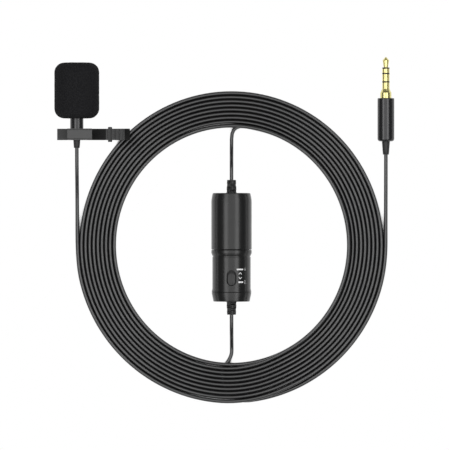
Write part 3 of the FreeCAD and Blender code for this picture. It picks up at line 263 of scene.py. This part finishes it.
class Finish:
    """One material, its Principled shader and the nodes that feed it."""

    def __init__(self, name, color, roughness, metallic=0.0, **fixed):
        self.material = bpy.data.materials.new(name)
        self.material.use_nodes = True
        self.tree = self.material.node_tree
        self.shader = self.tree.nodes["Principled BSDF"]
        self.set(**{"Base Color": (*color, 1), "Roughness": roughness, "Metallic": metallic})
        self.set(**fixed)
        self.place = self.node("TexCoord", {}, {}, "Object")

    def feed(self, socket, value):
        if isinstance(value, Link):
            self.tree.links.new(value.socket, socket)
        else:
            socket.default_value = value

    def set(self, **sockets):
        for name, value in sockets.items():
            self.feed(self.shader.inputs[name], value)

    def node(self, kind, settings, sockets, output=0):
        made = self.tree.nodes.new("ShaderNode" + kind)
        for name, value in settings.items():
            setattr(made, name, value)
        for key, value in sockets.items():
            self.feed(made.inputs[key], value)
        return Link(self, made.outputs[output])

    def grain(self, size, detail=2.0, stretch=None):
        """Noise whose features are about size millimetres across, from 0 to 1."""
        place = self.place
        if stretch:
            place = self.node("Mapping", {}, {"Vector": place, "Scale": stretch})
        sockets = {"Vector": place, "Scale": 1000 / size, "Detail": detail}
        return self.node("TexNoise", {}, sockets)

    def cells(self, size, feature="F1"):
        """Voronoi cells about size millimetres across."""
        sockets = {"Vector": self.place, "Scale": 1000 / size}
        return self.node("TexVoronoi", {"feature": feature}, sockets)

    def mix(self, low, high, share):
        """A colour between low and high."""
        colors = {0: share, 6: (*low, 1), 7: (*high, 1)}
        return self.node("Mix", {"data_type": "RGBA"}, colors, 2)

    def tint(self, low, high, share):
        """Sets the base colour between low and high."""
        self.set(**{"Base Color": self.mix(low, high, share)})

    def bump(self, height, depth):
        """Relief of depth millimetres."""
        sockets = {"Height": height, "Distance": depth * MM, "Strength": 1.0}
        self.set(Normal=self.node("Bump", {}, sockets))


# %% [markdown]
# Every piece ends the same way: its bmesh becomes an object at the origin, it gets a
# material, a small bevel where its edges are sharp, the body that it rides on and the CAD
# nodes that it stands for.

# %% Finish a piece
FACE_TURN = math.radians(32)


def piece(name, shape, finish, body, nodes=(), bevel=0.0, rounds=0):
    """Makes an object of a bmesh, in place, and hands it to the frame."""
    mesh = bpy.data.meshes.new(name)
    shape.to_mesh(mesh)
    shape.free()
    mesh.shade_smooth()
    mesh.set_sharp_from_angle(angle=FACE_TURN)
    made = bpy.data.objects.new(name, mesh)
    bpy.context.scene.collection.objects.link(made)
    mesh.materials.append(finish.material)
    if bevel:
        edge = made.modifiers.new("edge", "BEVEL")
        edge.width = bevel * MM
        edge.segments = 2
        edge.limit_method = "ANGLE"
        edge.angle_limit = FACE_TURN
        edge.harden_normals = True
    if rounds:
        smooth = made.modifiers.new("smooth", "SUBSURF")
        smooth.levels = rounds
        smooth.render_levels = rounds
    if body:
        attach(made, body)
    if nodes:
        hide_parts(*nodes)
    return made


# %% [markdown]
# Most of the set is round. `lathe` draws a profile of radius and station, spins it about
# an axis along Y and closes it where it reaches the axis.

# %% Turn a profile


def lathe(base, profile, steps=96):
    """A bmesh turned about an axis along Y; stations count from base, in millimetres."""
    shape = bmesh.new()
    corners = [shape.verts.new((radius * MM, station * MM, 0)) for radius, station in profile]
    for pair in zip(corners, corners[1:]):
        shape.edges.new(pair)
    if profile[0][0] > 0 and profile[-1][0] > 0:
        shape.edges.new((corners[-1], corners[0]))
    bmesh.ops.spin(
        shape,
        geom=shape.verts[:] + shape.edges[:],
        cent=(0, 0, 0),
        axis=(0, 1, 0),
        angle=2 * math.pi,
        steps=steps,
        use_merge=True,
    )
    bmesh.ops.remove_doubles(shape, verts=shape.verts, dist=1e-6)
    bmesh.ops.recalc_face_normals(shape, faces=shape.faces)
    bmesh.ops.translate(shape, verts=shape.verts, vec=base)
    return shape


def arc(radius, centre, start, end, count=6):
    """Points of a rounded corner of a profile; angles in degrees from the radius axis."""
    places = []
    for k in range(count + 1):
        spin = math.radians(start + (end - start) * k / count)
        places.append((centre[0] + radius * math.cos(spin), centre[1] + radius * math.sin(spin)))
    return places


# %% [markdown]
# Flat and bent pieces already have the right shape in the CAD nodes, but real mouldings
# and stampings have no knife edges. A copy of the node is merged, its coplanar triangles
# are dissolved, and a small bevel catches the light along its edges.

# %% Ease the edges of a CAD node


def eased(node, finish, body, bevel=0.1):
    """A copy of a CAD node with its sharp edges bevelled; it stands for that node."""
    shape = bmesh.new()
    shape.from_mesh(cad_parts[node].data)
    bmesh.ops.remove_doubles(shape, verts=shape.verts, dist=2e-6)
    flat = math.radians(1.5)
    bmesh.ops.dissolve_limit(shape, angle_limit=flat, verts=shape.verts, edges=shape.edges)
    return piece(node + "_eased", shape, finish, body, [node], bevel)


# %% [markdown]
# ## Finishes
# The cord's jacket is soft PVC, nearly black and satin, with a faint unevenness from the
# extruder. Its grey in the picture is all reflection. Rubber boots are duller. Most
# finishes here are neutral greys, so `grey` spells them once.

# %% Jacket and rubber


def grey(level):
    return (level, level, level)


jacket = Finish("cord_jacket", grey(0.005), 0.30, IOR=1.6, **{"Specular IOR Level": 0.8})
worn = jacket.grain(9, 3)
jacket.tint(grey(0.0035), grey(0.0065), worn)
jacket.set(Roughness=0.26 + worn * 0.08)
jacket.bump(jacket.grain(0.5, 3), 0.01)

rubber = Finish("boot_rubber", grey(0.012), 0.5)
dust = rubber.grain(1.6, 4)
rubber.tint(grey(0.009), grey(0.017), dust)
rubber.bump(rubber.grain(0.25, 3), 0.012)

for cord in (long_cord, plug_cord):
    cord.data.materials.append(jacket.material)

# %% [markdown]
# Open-cell foam is a net of tiny struts round open bubbles. From a hand's breadth away it
# reads as a dull, nearly black skin with fine pits. The pits come from Voronoi cells, and
# they darken the colour as well as the relief, because little light leaves a pore.

# %% Foam
foam_finish = Finish("foam", (0.017, 0.017, 0.018), 0.95)
foam_finish.set(**{"Specular IOR Level": 0.15})
pores = foam_finish.cells(0.55)
struts = foam_finish.grain(0.35, 3)
open_pore = pores * 1.3 + struts * 0.35
foam_finish.tint((0.024, 0.024, 0.025), (0.010, 0.010, 0.011), open_pore)
foam_finish.bump(0.9 - open_pore, 0.16)

# %% [markdown]
# The module is moulded in black plastic with a fine spark-eroded grain. It is a bit
# glossier where hands rub it, which a slow noise shows. Inner mouldings share the recipe
# in a plainer tone.

# %% Moulded plastics


GRAIN_SIZE, GRAIN_DEPTH = 0.35, 0.006


def moulded(name, low, high, roughness, shine=0.5):
    """Plastic between two colours, with a fine grain and spots rubbed glossier."""
    finish = Finish(name, low, roughness, **{"Specular IOR Level": shine})
    rubbed_and_painted_reflection = finish.grain(14, 3)
    finish.tint(low, high, rubbed_and_painted_reflection)
    finish.set(Roughness=roughness + 0.08 - rubbed_and_painted_reflection * 0.16)
    finish.bump(finish.grain(GRAIN_SIZE, 2), GRAIN_DEPTH)
    return finish


shell_plastic = moulded("module_shell", grey(0.006), (0.010, 0.010, 0.0095), 0.25, shine=0.55)
button_plastic = moulded("switch_button", grey(0.020), grey(0.028), 0.46)
tray_plastic = moulded("inner_moulding", (0.045, 0.045, 0.046), (0.062, 0.062, 0.063), 0.5)
holder_plastic = moulded("clip_holder", grey(0.040), grey(0.054), 0.42)
bush_plastic = moulded("contact_bush", grey(0.012), grey(0.016), 0.35)

# %% [markdown]
# Metals here are of three kinds: parts blackened by plating, which keep a dull metal
# sheen, bare steel, and gold plate. Brushed parts have scratches stretched round the
# axis, along X and Z, so the noise is squeezed along Y.

# %% Metals


SCRATCH_DEPTH = 0.003


def metal(name, low, high, roughness, brush=(1, 9, 1), metallic=1.0):
    """Metal between two colours, with fine scratches along the brush direction."""
    finish = Finish(name, low, roughness, metallic)
    scratch = finish.grain(1.4, 4, brush)
    finish.tint(low, high, scratch)
    finish.set(Roughness=roughness - 0.06 + scratch * 0.14)
    finish.bump(finish.grain(0.5, 3, brush), SCRATCH_DEPTH)
    return finish


black_metal = metal(
    "blackened_metal", (0.050, 0.050, 0.051), (0.070, 0.070, 0.071), 0.20, metallic=0.85
)
plate_metal = metal("dull_plate", grey(0.060), grey(0.080), 0.5, (9, 1, 9), 0.3)
steel = metal("bare_steel", (0.42, 0.42, 0.43), (0.6, 0.6, 0.61), 0.28)
gold = metal("gold_plate", (0.74, 0.66, 0.26), (0.86, 0.78, 0.36), 0.24)
cell_steel = metal("cell_can", (0.62, 0.62, 0.63), (0.72, 0.72, 0.73), 0.24, (4, 1, 4))

# %% [markdown]
# The jaws are lacquered black. Their colour is painted paler at the left end and on the ribs, as
# a painted reflection of the lamps in the glossy bar, and stays black between them as its
# painted dark reflection, so three tests on the distance along X choose the colour.

# %% Lacquer of the jaws
PALE_END = -40.9 * MM
RIBS_FROM, RIBS_TO = -22.6 * MM, -13.6 * MM
jaw_metal = metal("black_lacquered_jaw", grey(0.006), grey(0.010), 0.45, metallic=0.0)
jaw_metal.set(**{"Specular IOR Level": 0.1})
jaw_x = jaw_metal.node("SeparateXYZ", {}, {"Vector": jaw_metal.place})
on_ribs = (jaw_x > RIBS_FROM) * (jaw_x < RIBS_TO)
# Painted reflection: the base colour is pale at the left end and on the ribs and black between
# them.
rubbed_and_painted_reflection = jaw_metal.node("Math", {"operation": "MAXIMUM"}, {0: jaw_x < PALE_END, 1: on_ribs})
jaw_metal.tint(grey(0.008), grey(0.068), rubbed_and_painted_reflection)

# %% [markdown]
# Small inner finishes: the fine woven screen over the capsule, the lacquered board with
# copper under it, and the insulated wires.

# %% Screen, board and wires
screen = Finish("woven_screen", (0.05, 0.05, 0.052), 0.6)
weave = {"Vector": screen.place, "Scale": 5200.0, "Mortar Size": 0.08}
threads = screen.node("TexBrick", {"offset": 0.0}, weave)
screen.bump(threads, 0.03)

board_lacquer = Finish("board_lacquer", (0.012, 0.10, 0.045), 0.25)
copper_path = board_lacquer.cells(1.6, "DISTANCE_TO_EDGE") > 0.16
board_lacquer.tint((0.035, 0.17, 0.07), (0.012, 0.10, 0.045), copper_path)
board_lacquer.bump(copper_path * -1.0, 0.02)

wire_jacket = Finish("wire_jacket", (0.45, 0.05, 0.04), 0.45)
wire_tone = wire_jacket.grain(6, 2)
wire_jacket.tint((0.38, 0.04, 0.03), (0.5, 0.07, 0.05), wire_tone)

white_ink = Finish("white_ink", grey(0.62), 0.6)
thin_ink = white_ink.grain(0.4, 3)
white_ink.tint(grey(0.74), grey(0.88), thin_ink)

# %% [markdown]
# ## The foam windscreen
# It is a thick foam sleeve, closed at the top, with both rims well rounded. The profile
# is spun in fine steps, the outside is divided again, and noise moves each point by a
# tenth of a millimetre, so that even the outline looks like foam.

# %% Windscreen
foam_low, foam_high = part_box("foam_windscreen")
FOAM_R = (foam_high.x - foam_low.x) / 2 / MM
FOAM_L = (foam_high.y - foam_low.y) / MM
BEND = 4.8
BORE = 3.47
profile = [(4.7, 0.0)]
profile += arc(BEND, (FOAM_R - BEND, BEND), -90, 0, 12)
profile += [(FOAM_R, BEND + (FOAM_L - 2 * BEND) * k / 24) for k in range(1, 24)]
profile += arc(BEND, (FOAM_R - BEND, FOAM_L - BEND), 0, 90, 12)
profile += [(4.6, FOAM_L), (3.0, FOAM_L), (1.5, FOAM_L), (0.0, FOAM_L)]
outside = lathe(axis_of("foam_windscreen"), profile, 120)
bmesh.ops.subdivide_edges(outside, edges=outside.edges, cuts=1, use_grid_fill=True)
for point in outside.verts:
    rough = noise.noise(point.co * 2600) * 0.08 + noise.noise(point.co * 700) * 0.06
    point.co -= point.normal * (0.09 + rough) * MM
print("foam faces", len(outside.faces))

# %% [markdown]
# The bore is a plain blind hole, closed by its own small lathe shape and bridged to the
# outside at the rim, so that the foam stays one closed wall.

# %% Bore of the windscreen


def rim_edges(shape):
    return [edge for edge in shape.edges if edge.is_boundary]


bore_profile = [(BORE, 0.0), (BORE, 6.0), (BORE, 11.9), (0.0, 11.9)]
inside = lathe(axis_of("foam_windscreen"), bore_profile, 240)
inner_mesh = bpy.data.meshes.new("bore")
inside.to_mesh(inner_mesh)
inside.free()
outside.from_mesh(inner_mesh)
bmesh.ops.bridge_loops(outside, edges=rim_edges(outside))
bmesh.ops.recalc_face_normals(outside, faces=outside.faces)
windscreen = piece(
    "windscreen_foam", outside, foam_finish, "windscreen", ["foam_windscreen"]
)

# %% [markdown]
# ## Rubber boots
# The module's two boots are moulded with staggered windows, which let them bend. Each is
# a turned sleeve of few faces with five ribs. Between the ribs, four windows to a row are
# pushed in, every second row a half window further round, and a subdivision surface
# rounds the result like moulded rubber.

# %% Boots of the module
RIB, WINDOW = 0.45, 0.98
WINDOW_ROWS = 4
WINDOW_DEPTH = 0.6
FIRST_RIB = 0.12
AROUND = 24


def windowed_boot(tip, way):
    """A boot whose tip is at the point tip; way is +1 where it widens towards +Y."""
    length, wall = 6.3, 1.7
    stations = [FIRST_RIB]
    for row in range(WINDOW_ROWS):
        stations += [stations[-1] + RIB, stations[-1] + RIB + WINDOW]
    stations.append(length)
    profile = [(1.0, 0.0), (2.0, 0.0)]
    profile += [(2.15 + 0.35 * station / length, station) for station in stations]
    profile += [(2.5, length + wall), (3.4, length + wall)]
    profile += [(3.4, length + wall + 0.8), (1.0, length + wall + 0.8)]
    shape = lathe(Vector((0, 0, 0)), profile, AROUND)
    windows = []
    for face in shape.faces:
        middle = face.calc_center_median()
        outward = math.hypot(middle.x, middle.z) / MM
        row, reach = divmod(middle.y / MM - FIRST_RIB, RIB + WINDOW)
        if outward < 2.05 or not 0 <= row < WINDOW_ROWS or reach < RIB:
            continue
        column = int(math.degrees(math.atan2(middle.z, middle.x)) // (360 / AROUND))
        if (column + 3 * int(row)) % 6 < 4:
            windows.append(face)
    bmesh.ops.inset_region(
        shape,
        faces=windows,
        thickness=0.1 * MM,
        depth=-WINDOW_DEPTH * MM,
        use_even_offset=True,
    )
    if way < 0:
        bmesh.ops.scale(shape, vec=(1, -1, 1), verts=shape.verts)
        bmesh.ops.recalc_face_normals(shape, faces=shape.faces)
    bmesh.ops.translate(shape, verts=shape.verts, vec=tip)
    print("window faces", len(windows))
    return shape


top_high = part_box("top_boot")[1]
foot_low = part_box("bottom_boot")[0]
shape = windowed_boot(Vector((MODULE.x, top_high.y, MODULE.z)), -1)
piece("cap_boot_rubber", shape, rubber, "cap_boot", ["top_boot"], rounds=2)
shape = windowed_boot(Vector((MODULE.x, foot_low.y, MODULE.z)), 1)
piece("foot_boot_rubber", shape, rubber, "base", ["bottom_boot"], rounds=2)

# %% [markdown]
# The boots of the microphone and of the plug are plain cones with a small bead at the
# tip, where the mould parts.

# %% Boots of the microphone and the plug
shape = lathe(
    axis_of("mic_boot"),
    [(0.95, 0.0), (1.28, 0.0)]
    + arc(0.16, (1.28, 0.16), -60, 60, 4)
    + [(1.34, 0.42), (1.46, 0.6), (1.66, 3.7), (1.66, 4.9)]
    + [(1.88, 4.9), (1.88, 5.65), (0.95, 5.65)],
    48,
)
piece("mic_boot_rubber", shape, rubber, "base", ["mic_boot"], 0.08)
shape = lathe(
    axis_of("plug_boot"),
    [(0.95, 0.0), (1.36, 0.0)]
    + arc(0.2, (1.34, 0.2), -60, 60, 4)
    + [(1.40, 0.52), (1.52, 0.75), (1.90, 6.3), (1.9, 7.45)]
    + [(2.78, 7.5), (2.78, 8.25), (0.95, 8.25)],
    48,
)
plug_boot = piece(
    "plug_boot_rubber", shape, rubber, "base", ["plug_boot"], 0.08
)

# %% [markdown]
# ## The battery module
# The cap is a turned shell with a soft shoulder. Its rim and the collar below are
# chamfered, so the parting line shows as a fine dark V, as on any screwed housing.

# %% Battery cap
shape = lathe(
    CAP,
    [(8.4, 0.0), (9.42, 0.0), (9.67, 0.28), (9.67, 22.9)]
    + [(9.60, 23.9), (9.42, 25.1), (9.18, 26.3)]
    + arc(0.42, (8.66, 26.68), 12, 90, 5)
    + [(2.85, 27.1), (2.55, 26.8), (2.55, 25.3), (8.4, 25.3)],
    144,
)
piece("cap_shell", shape, shell_plastic, "cap", ["battery_cap"], 0.08)

# %% [markdown]
# The lower shell has a collar that the cap closes against, a groove below it, and the
# straight grip with the switch slot. It is turned first. The slot is then cut with a
# Boolean and a cutter that is an extruded round-ended outline.

# %% A round-ended block


def obround(width, length, centre, low, high, steps=16):
    """An upright block with round ends along Y, in millimetres round the point centre."""
    shape = bmesh.new()
    reach = (length - width) / 2
    outline = []
    for end in (1, -1):
        for k in range(steps + 1):
            spin = math.radians((0 if end > 0 else 180) + 180 * k / steps)
            round_end = end * reach + width / 2 * math.sin(spin)
            outline.append((width / 2 * math.cos(spin), round_end))
    corners = [shape.verts.new((x * MM, y * MM, low * MM)) for x, y in outline]
    base = shape.faces.new(corners)
    grown = bmesh.ops.extrude_face_region(shape, geom=[base])
    raised = [item for item in grown["geom"] if isinstance(item, bmesh.types.BMVert)]
    bmesh.ops.translate(shape, verts=raised, vec=(0, 0, (high - low) * MM))
    bmesh.ops.remove_doubles(shape, verts=shape.verts, dist=1e-6)
    bmesh.ops.recalc_face_normals(shape, faces=shape.faces)
    bmesh.ops.translate(shape, verts=shape.verts, vec=centre)
    return shape


def carved(shape, cutter):
    """The first shape less the second, both closed."""
    held = []
    for name, form in (("blank", shape), ("cutter", cutter)):
        mesh = bpy.data.meshes.new(name)
        form.to_mesh(mesh)
        form.free()
        held.append(bpy.data.objects.new(name, mesh))
        bpy.context.scene.collection.objects.link(held[-1])
    cut = held[0].modifiers.new("cut", "BOOLEAN")
    cut.operation = "DIFFERENCE"
    cut.solver = "EXACT"
    cut.object = held[1]
    bpy.context.view_layer.update()
    solved = held[0].evaluated_get(bpy.context.evaluated_depsgraph_get())
    result = bmesh.new()
    result.from_mesh(solved.to_mesh())
    for thing in held:
        bpy.data.objects.remove(thing)
    return result


# %% Lower shell
slide_low, slide_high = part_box("switch_slider")
SLOT = Vector((MODULE.x, MODULE.y + 6.7 * MM, MODULE.z))
SLOT_WIDTH, SLOT_LENGTH = 4.7, 7.4
shape = lathe(
    MODULE,
    [(7.4, 0.0), (9.33, 0.0), (9.46, 0.12), (9.46, 0.4), (9.30, 1.1), (9.19, 1.6), (9.17, 1.9)]
    + [(9.17, 16.7), (8.98, 16.9), (8.98, 17.35), (9.2, 17.5)]
    + [(9.62, 18.6), (9.67, 18.8), (9.67, 19.95), (9.42, 20.2), (8.3, 20.2)]
    + [(8.3, 21.6), (7.5, 21.6), (7.5, 22.7), (8.3, 22.7), (8.3, 24.6), (8.1, 24.8)]
    + [(0.0, 24.8), (0.0, 23.4), (6.9, 23.4), (6.9, 19.0), (7.4, 18.4)],
    144,
)
cutter = obround(SLOT_WIDTH, SLOT_LENGTH, SLOT, 4.0, 12.0)
housing = carved(shape, cutter)
piece("lower_shell", housing, shell_plastic, "base", ["lower_housing"], 0.07)

# %% [markdown]
# The tail cap is widest where it meets the shell, which flares out to it, and tapers to
# its flat end, with the boot in the middle.

# %% Tail cap
shape = lathe(
    axis_of("tail_cap"),
    [(2.55, 0.0), (8.3, 0.0)]
    + arc(0.45, (8.3, 0.45), -85, -10, 4)
    + [(9.12, 2.3), (9.49, 4.1), (9.46, 4.38), (9.33, 4.5)]
    + [(7.35, 4.5), (7.35, 6.05), (6.2, 6.05), (6.2, 1.6), (2.55, 1.6)],
    144,
)
piece("tail_shell", shape, shell_plastic, "base", ["tail_cap"], 0.07)

# %% [markdown]
# The switch's button sits in the slot, slightly crowned, with rows of tiny grip dots. The
# plate below it closes the slot from inside.

# %% Switch button
KNOB = Vector((MODULE.x, (slide_low.y + slide_high.y) / 2, MODULE.z))
top = (slide_high.z - MODULE.z) / MM
bottom = (slide_low.z - MODULE.z) / MM
button = obround(3.5, 5.7, KNOB, bottom + 1.3, top)
crown = [face for face in button.faces if face.normal.z > 0.9]
bmesh.ops.inset_region(button, faces=crown, thickness=0.3 * MM, depth=0.12 * MM)
for part in (
    obround(5.4, 8.2, KNOB, bottom + 1.3, bottom + 2.1),
    obround(1.1, 1.2, KNOB, bottom, bottom + 1.5),
):
    mesh = bpy.data.meshes.new("part")
    part.to_mesh(mesh)
    part.free()
    button.from_mesh(mesh)
dots = 0
for row in range(-5, 6):
    for column in range(-2, 3):
        across, along = column * 0.52, row * 0.45
        reach = 1.1
        if abs(along) >= 1.3:
            reach = math.sqrt(max(0, 1.25**2 - (abs(along) - 1.25) ** 2))
        if (row + column) % 2 or abs(across) > reach:
            continue
        place = Matrix.Translation(KNOB + Vector((across, along, top + 0.1)) * MM)
        bmesh.ops.create_icosphere(button, subdivisions=1, radius=0.15 * MM, matrix=place)
        dots += 1
print("grip dots", dots)
piece(
    "switch_button",
    button,
    button_plastic,
    "slider",
    ["switch_slider"],
    0.05,
)

# %% [markdown]
# Two positions are printed beside the slot: a short line and a plain figure each, with an
# arrowhead that points there. Printing is thin ink, so each mark is a flat outline bent
# round the shell and raised by a few hundredths of a millimetre.

# %% Printed marks


SHELL_R = 9.17
INK = 0.015


def wrapped(name, mesh, across, along):
    """Bends a flat mesh in millimetres round the module and lets it ride there."""
    shape = bmesh.new()
    shape.from_mesh(mesh)
    bmesh.ops.triangulate(shape, faces=shape.faces)
    bmesh.ops.subdivide_edges(shape, edges=shape.edges, cuts=1)
    for point in shape.verts:
        spin = (point.co.x + across) / SHELL_R
        out = (SHELL_R + INK) * MM
        place = Vector((math.sin(spin) * out, (point.co.y + along) * MM, math.cos(spin) * out))
        point.co = place + Vector((MODULE.x, COIL.y, MODULE.z))
    return piece(name, shape, white_ink, "base")


def figure(text, size):
    """A flat mesh of a figure, size millimetres high."""
    curve = bpy.data.curves.new("figure", "FONT")
    curve.body = text
    curve.size = size
    curve.align_x = "CENTER"
    curve.align_y = "CENTER"
    curve.resolution_u = 3
    holder = bpy.data.objects.new("figure", curve)
    bpy.context.scene.collection.objects.link(holder)
    bpy.context.view_layer.update()
    mesh = bpy.data.meshes.new_from_object(holder)
    bpy.data.objects.remove(holder)
    return mesh


def stroke(line, width):
    """A flat band of equal width upwards of a line of points."""
    shape = bmesh.new()
    low = [shape.verts.new((x, y, 0)) for x, y in line]
    high = [shape.verts.new((x, y + width, 0)) for x, y in line]
    for k in range(len(line) - 1):
        shape.faces.new((low[k], low[k + 1], high[k + 1], high[k]))
    mesh = bpy.data.meshes.new("stroke")
    shape.to_mesh(mesh)
    shape.free()
    return mesh


wrapped("line_one", stroke([(-1.7, -0.35), (0, -0.35), (1.7, -0.35)], 0.7), 4.2, -11.5)
wrapped("mark_one", figure("1", 2.0), 7.1, -11.5)
wrapped("mark_up", stroke([(-0.75, -0.5), (0, 0.2), (0.75, -0.5)], 0.5), 4.3, -13.5)
wrapped("mark_down", stroke([(-0.75, 0.2), (0, -0.5), (0.75, 0.2)], 0.5), 4.3, -15.7)
wrapped("line_two", stroke([(-1.3, -0.35), (0, -0.35), (1.3, -0.35)], 0.7), 4.6, -17.6)
wrapped("mark_two", figure("2", 2.0), 7.1, -17.6)

# %% [markdown]
# ## The tie clip
# The clip's pieces are bent and stamped shapes from the CAD model with eased edges: a
# grey holder, the pale plate on its front, and two black jaws.

# %% Clip pieces
eased("clip_holder", holder_plastic, "clip", 0.18)
eased("clip_face_plate", plate_metal, "clip", 0.12)
eased("clip_front_jaw", jaw_metal, "clip", 0.14)
eased("clip_back_jaw", jaw_metal, "back_jaw", 0.12)
eased("clip_hinge_pin", black_metal, "clip", 0.25)

# %% [markdown]
# The torsion spring keeps its CAD shape in bare steel. It rides on no body, and its place is
# baked into the mesh.

# %% Torsion spring
spring = eased("clip_spring", steel, None, 0.0)
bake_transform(spring)

# %% [markdown]
# ## The plug
# The handle is a black metal tube with a brushed finish. The contacts are gold plated, and
# black bushes part them.

# %% Plug pieces
shape = lathe(
    PLUG,
    [(1.97, 0.0), (2.75, 0.0)]
    + arc(1.28, (2.75, 1.28), -88, 0, 8)
    + [(4.03, 20.45), (3.92, 20.6), (3.78, 20.7), (3.28, 20.7), (3.28, 1.2), (1.97, 1.2)],
    96,
)
plug_handle = piece(
    "handle_tube", shape, black_metal, "base", ["plug_handle"], 0.05
)
contacts = [
    eased(node, gold, "base", 0.06)
    for node in ("jack_tip", "jack_ring_1", "jack_ring_2", "jack_sleeve")
]

# %% [markdown]
# ## Everything else
# The other nodes keep their CAD shape and only need their finish.

# %% Finishes for the CAD nodes
NODE_FINISHES = {
    black_metal: ["mic_barrel", "mic_grille"],
    screen: ["dust_screen"],
    steel: ["mic_capsule", "clip_rivet", "negative_spring"],
    rubber: ["capsule_gasket", "seal_ring"],
    tray_plastic: ["battery_tray", "cord_anchor", "board_parts", "switch_body", "plug_core"],
    cell_steel: ["button_cell"],
    gold: ["positive_contact"],
    board_lacquer: ["circuit_board"],
    wire_jacket: ["module_wires"],
    bush_plastic: ["jack_insulators"],
}
for finish, nodes in NODE_FINISHES.items():
    for node in nodes:
        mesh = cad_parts[node].data
        mesh.materials.clear()
        mesh.materials.append(finish.material)

# %% [markdown]
# ## Table and light
# The table is white to the camera and in reflections, and plain diffuse white to all
# other light. No light reaches the table between two strands, so an occlusion node keeps
# the slits dark. Two long softboxes hang left and right of the camera and draw a pale band
# each along a round shell. A wider, weaker one between them fills the middle, and a low
# grey world the rest. The camera itself sees a white backdrop behind the table.

# %% Table
table_shape = bmesh.new()
bmesh.ops.create_grid(table_shape, x_segments=1, y_segments=1, size=3.0)
table_mesh = bpy.data.meshes.new("table")
table_shape.to_mesh(table_mesh)
table_shape.free()
table = bpy.data.objects.new("table", table_mesh)
bpy.context.scene.collection.objects.link(table)
white = Finish("table_white", grey(0.86), 0.9)
sight = white.node("LightPath", {}, {}, "Is Camera Ray")
mirror = white.node("LightPath", {}, {}, "Is Glossy Ray")
through = white.node("LightPath", {}, {}, "Is Transmission Ray")
glow = white.node("Emission", {}, {"Color": (1, 1, 1, 1), "Strength": 1.0})
bounced = white.node("Math", {"operation": "MAXIMUM"}, {0: mirror, 1: through})
seen = white.node("Math", {"operation": "MAXIMUM"}, {0: sight, 1: bounced})
plain = Link(white, white.shader.outputs[0])
sky = white.node("AmbientOcclusion", {"samples": 16}, {"Distance": 6 * MM}, "AO")
steep = {"operation": "MULTIPLY", "use_clamp": True}
open_sky = white.node("Math", steep, {0: sky - 0.30, 1: 6.0})
white.tint(grey(0.004), grey(0.86), open_sky)
table_look = white.node("MixShader", {}, {0: seen * open_sky, 1: plain, 2: glow})
white.tree.links.new(table_look.socket, white.tree.nodes["Material Output"].inputs["Surface"])
table_mesh.materials.append(white.material)
table.location.z = -0.05 * MM

# %% Light
LAMP_DISTANCE = 620
LAMP_LENGTH = 0.9
SIDE_TILT = math.radians(31)
world = bpy.data.worlds.new("studio")
bpy.context.scene.world = world
world.use_nodes = True
nodes, links = world.node_tree.nodes, world.node_tree.links
dim = nodes["Background"]
dim.inputs["Color"].default_value = (0.9, 0.92, 0.95, 1)
dim.inputs["Strength"].default_value = 0.15
backdrop = nodes.new("ShaderNodeBackground")
backdrop.inputs["Color"].default_value = (1, 1, 1, 1)
either = nodes.new("ShaderNodeMixShader")
eye = nodes.new("ShaderNodeLightPath")
links.new(eye.outputs["Is Camera Ray"], either.inputs[0])
links.new(dim.outputs[0], either.inputs[1])
links.new(backdrop.outputs[0], either.inputs[2])
links.new(either.outputs[0], nodes["World Output"].inputs["Surface"])
for side, width, energy in ((-1, 0.24, 1.76), (0, 0.40, 1.35), (1, 0.24, 1.76)):
    softbox = bpy.data.lights.new("softbox", "AREA")
    softbox.shape = "RECTANGLE"
    softbox.size = width
    softbox.size_y = LAMP_LENGTH
    softbox.energy = energy
    lamp = bpy.data.objects.new("softbox", softbox)
    bpy.context.scene.collection.objects.link(lamp)
    tilt = side * SIDE_TILT
    lamp.location = COIL + Vector((math.sin(tilt), 0, math.cos(tilt))) * LAMP_DISTANCE * MM
    lamp.rotation_euler = (0, tilt, 0)
    lamp.visible_camera = False
bpy.context.scene.view_settings.view_transform = "Standard"

# %% Update the view layer
bpy.context.view_layer.update()
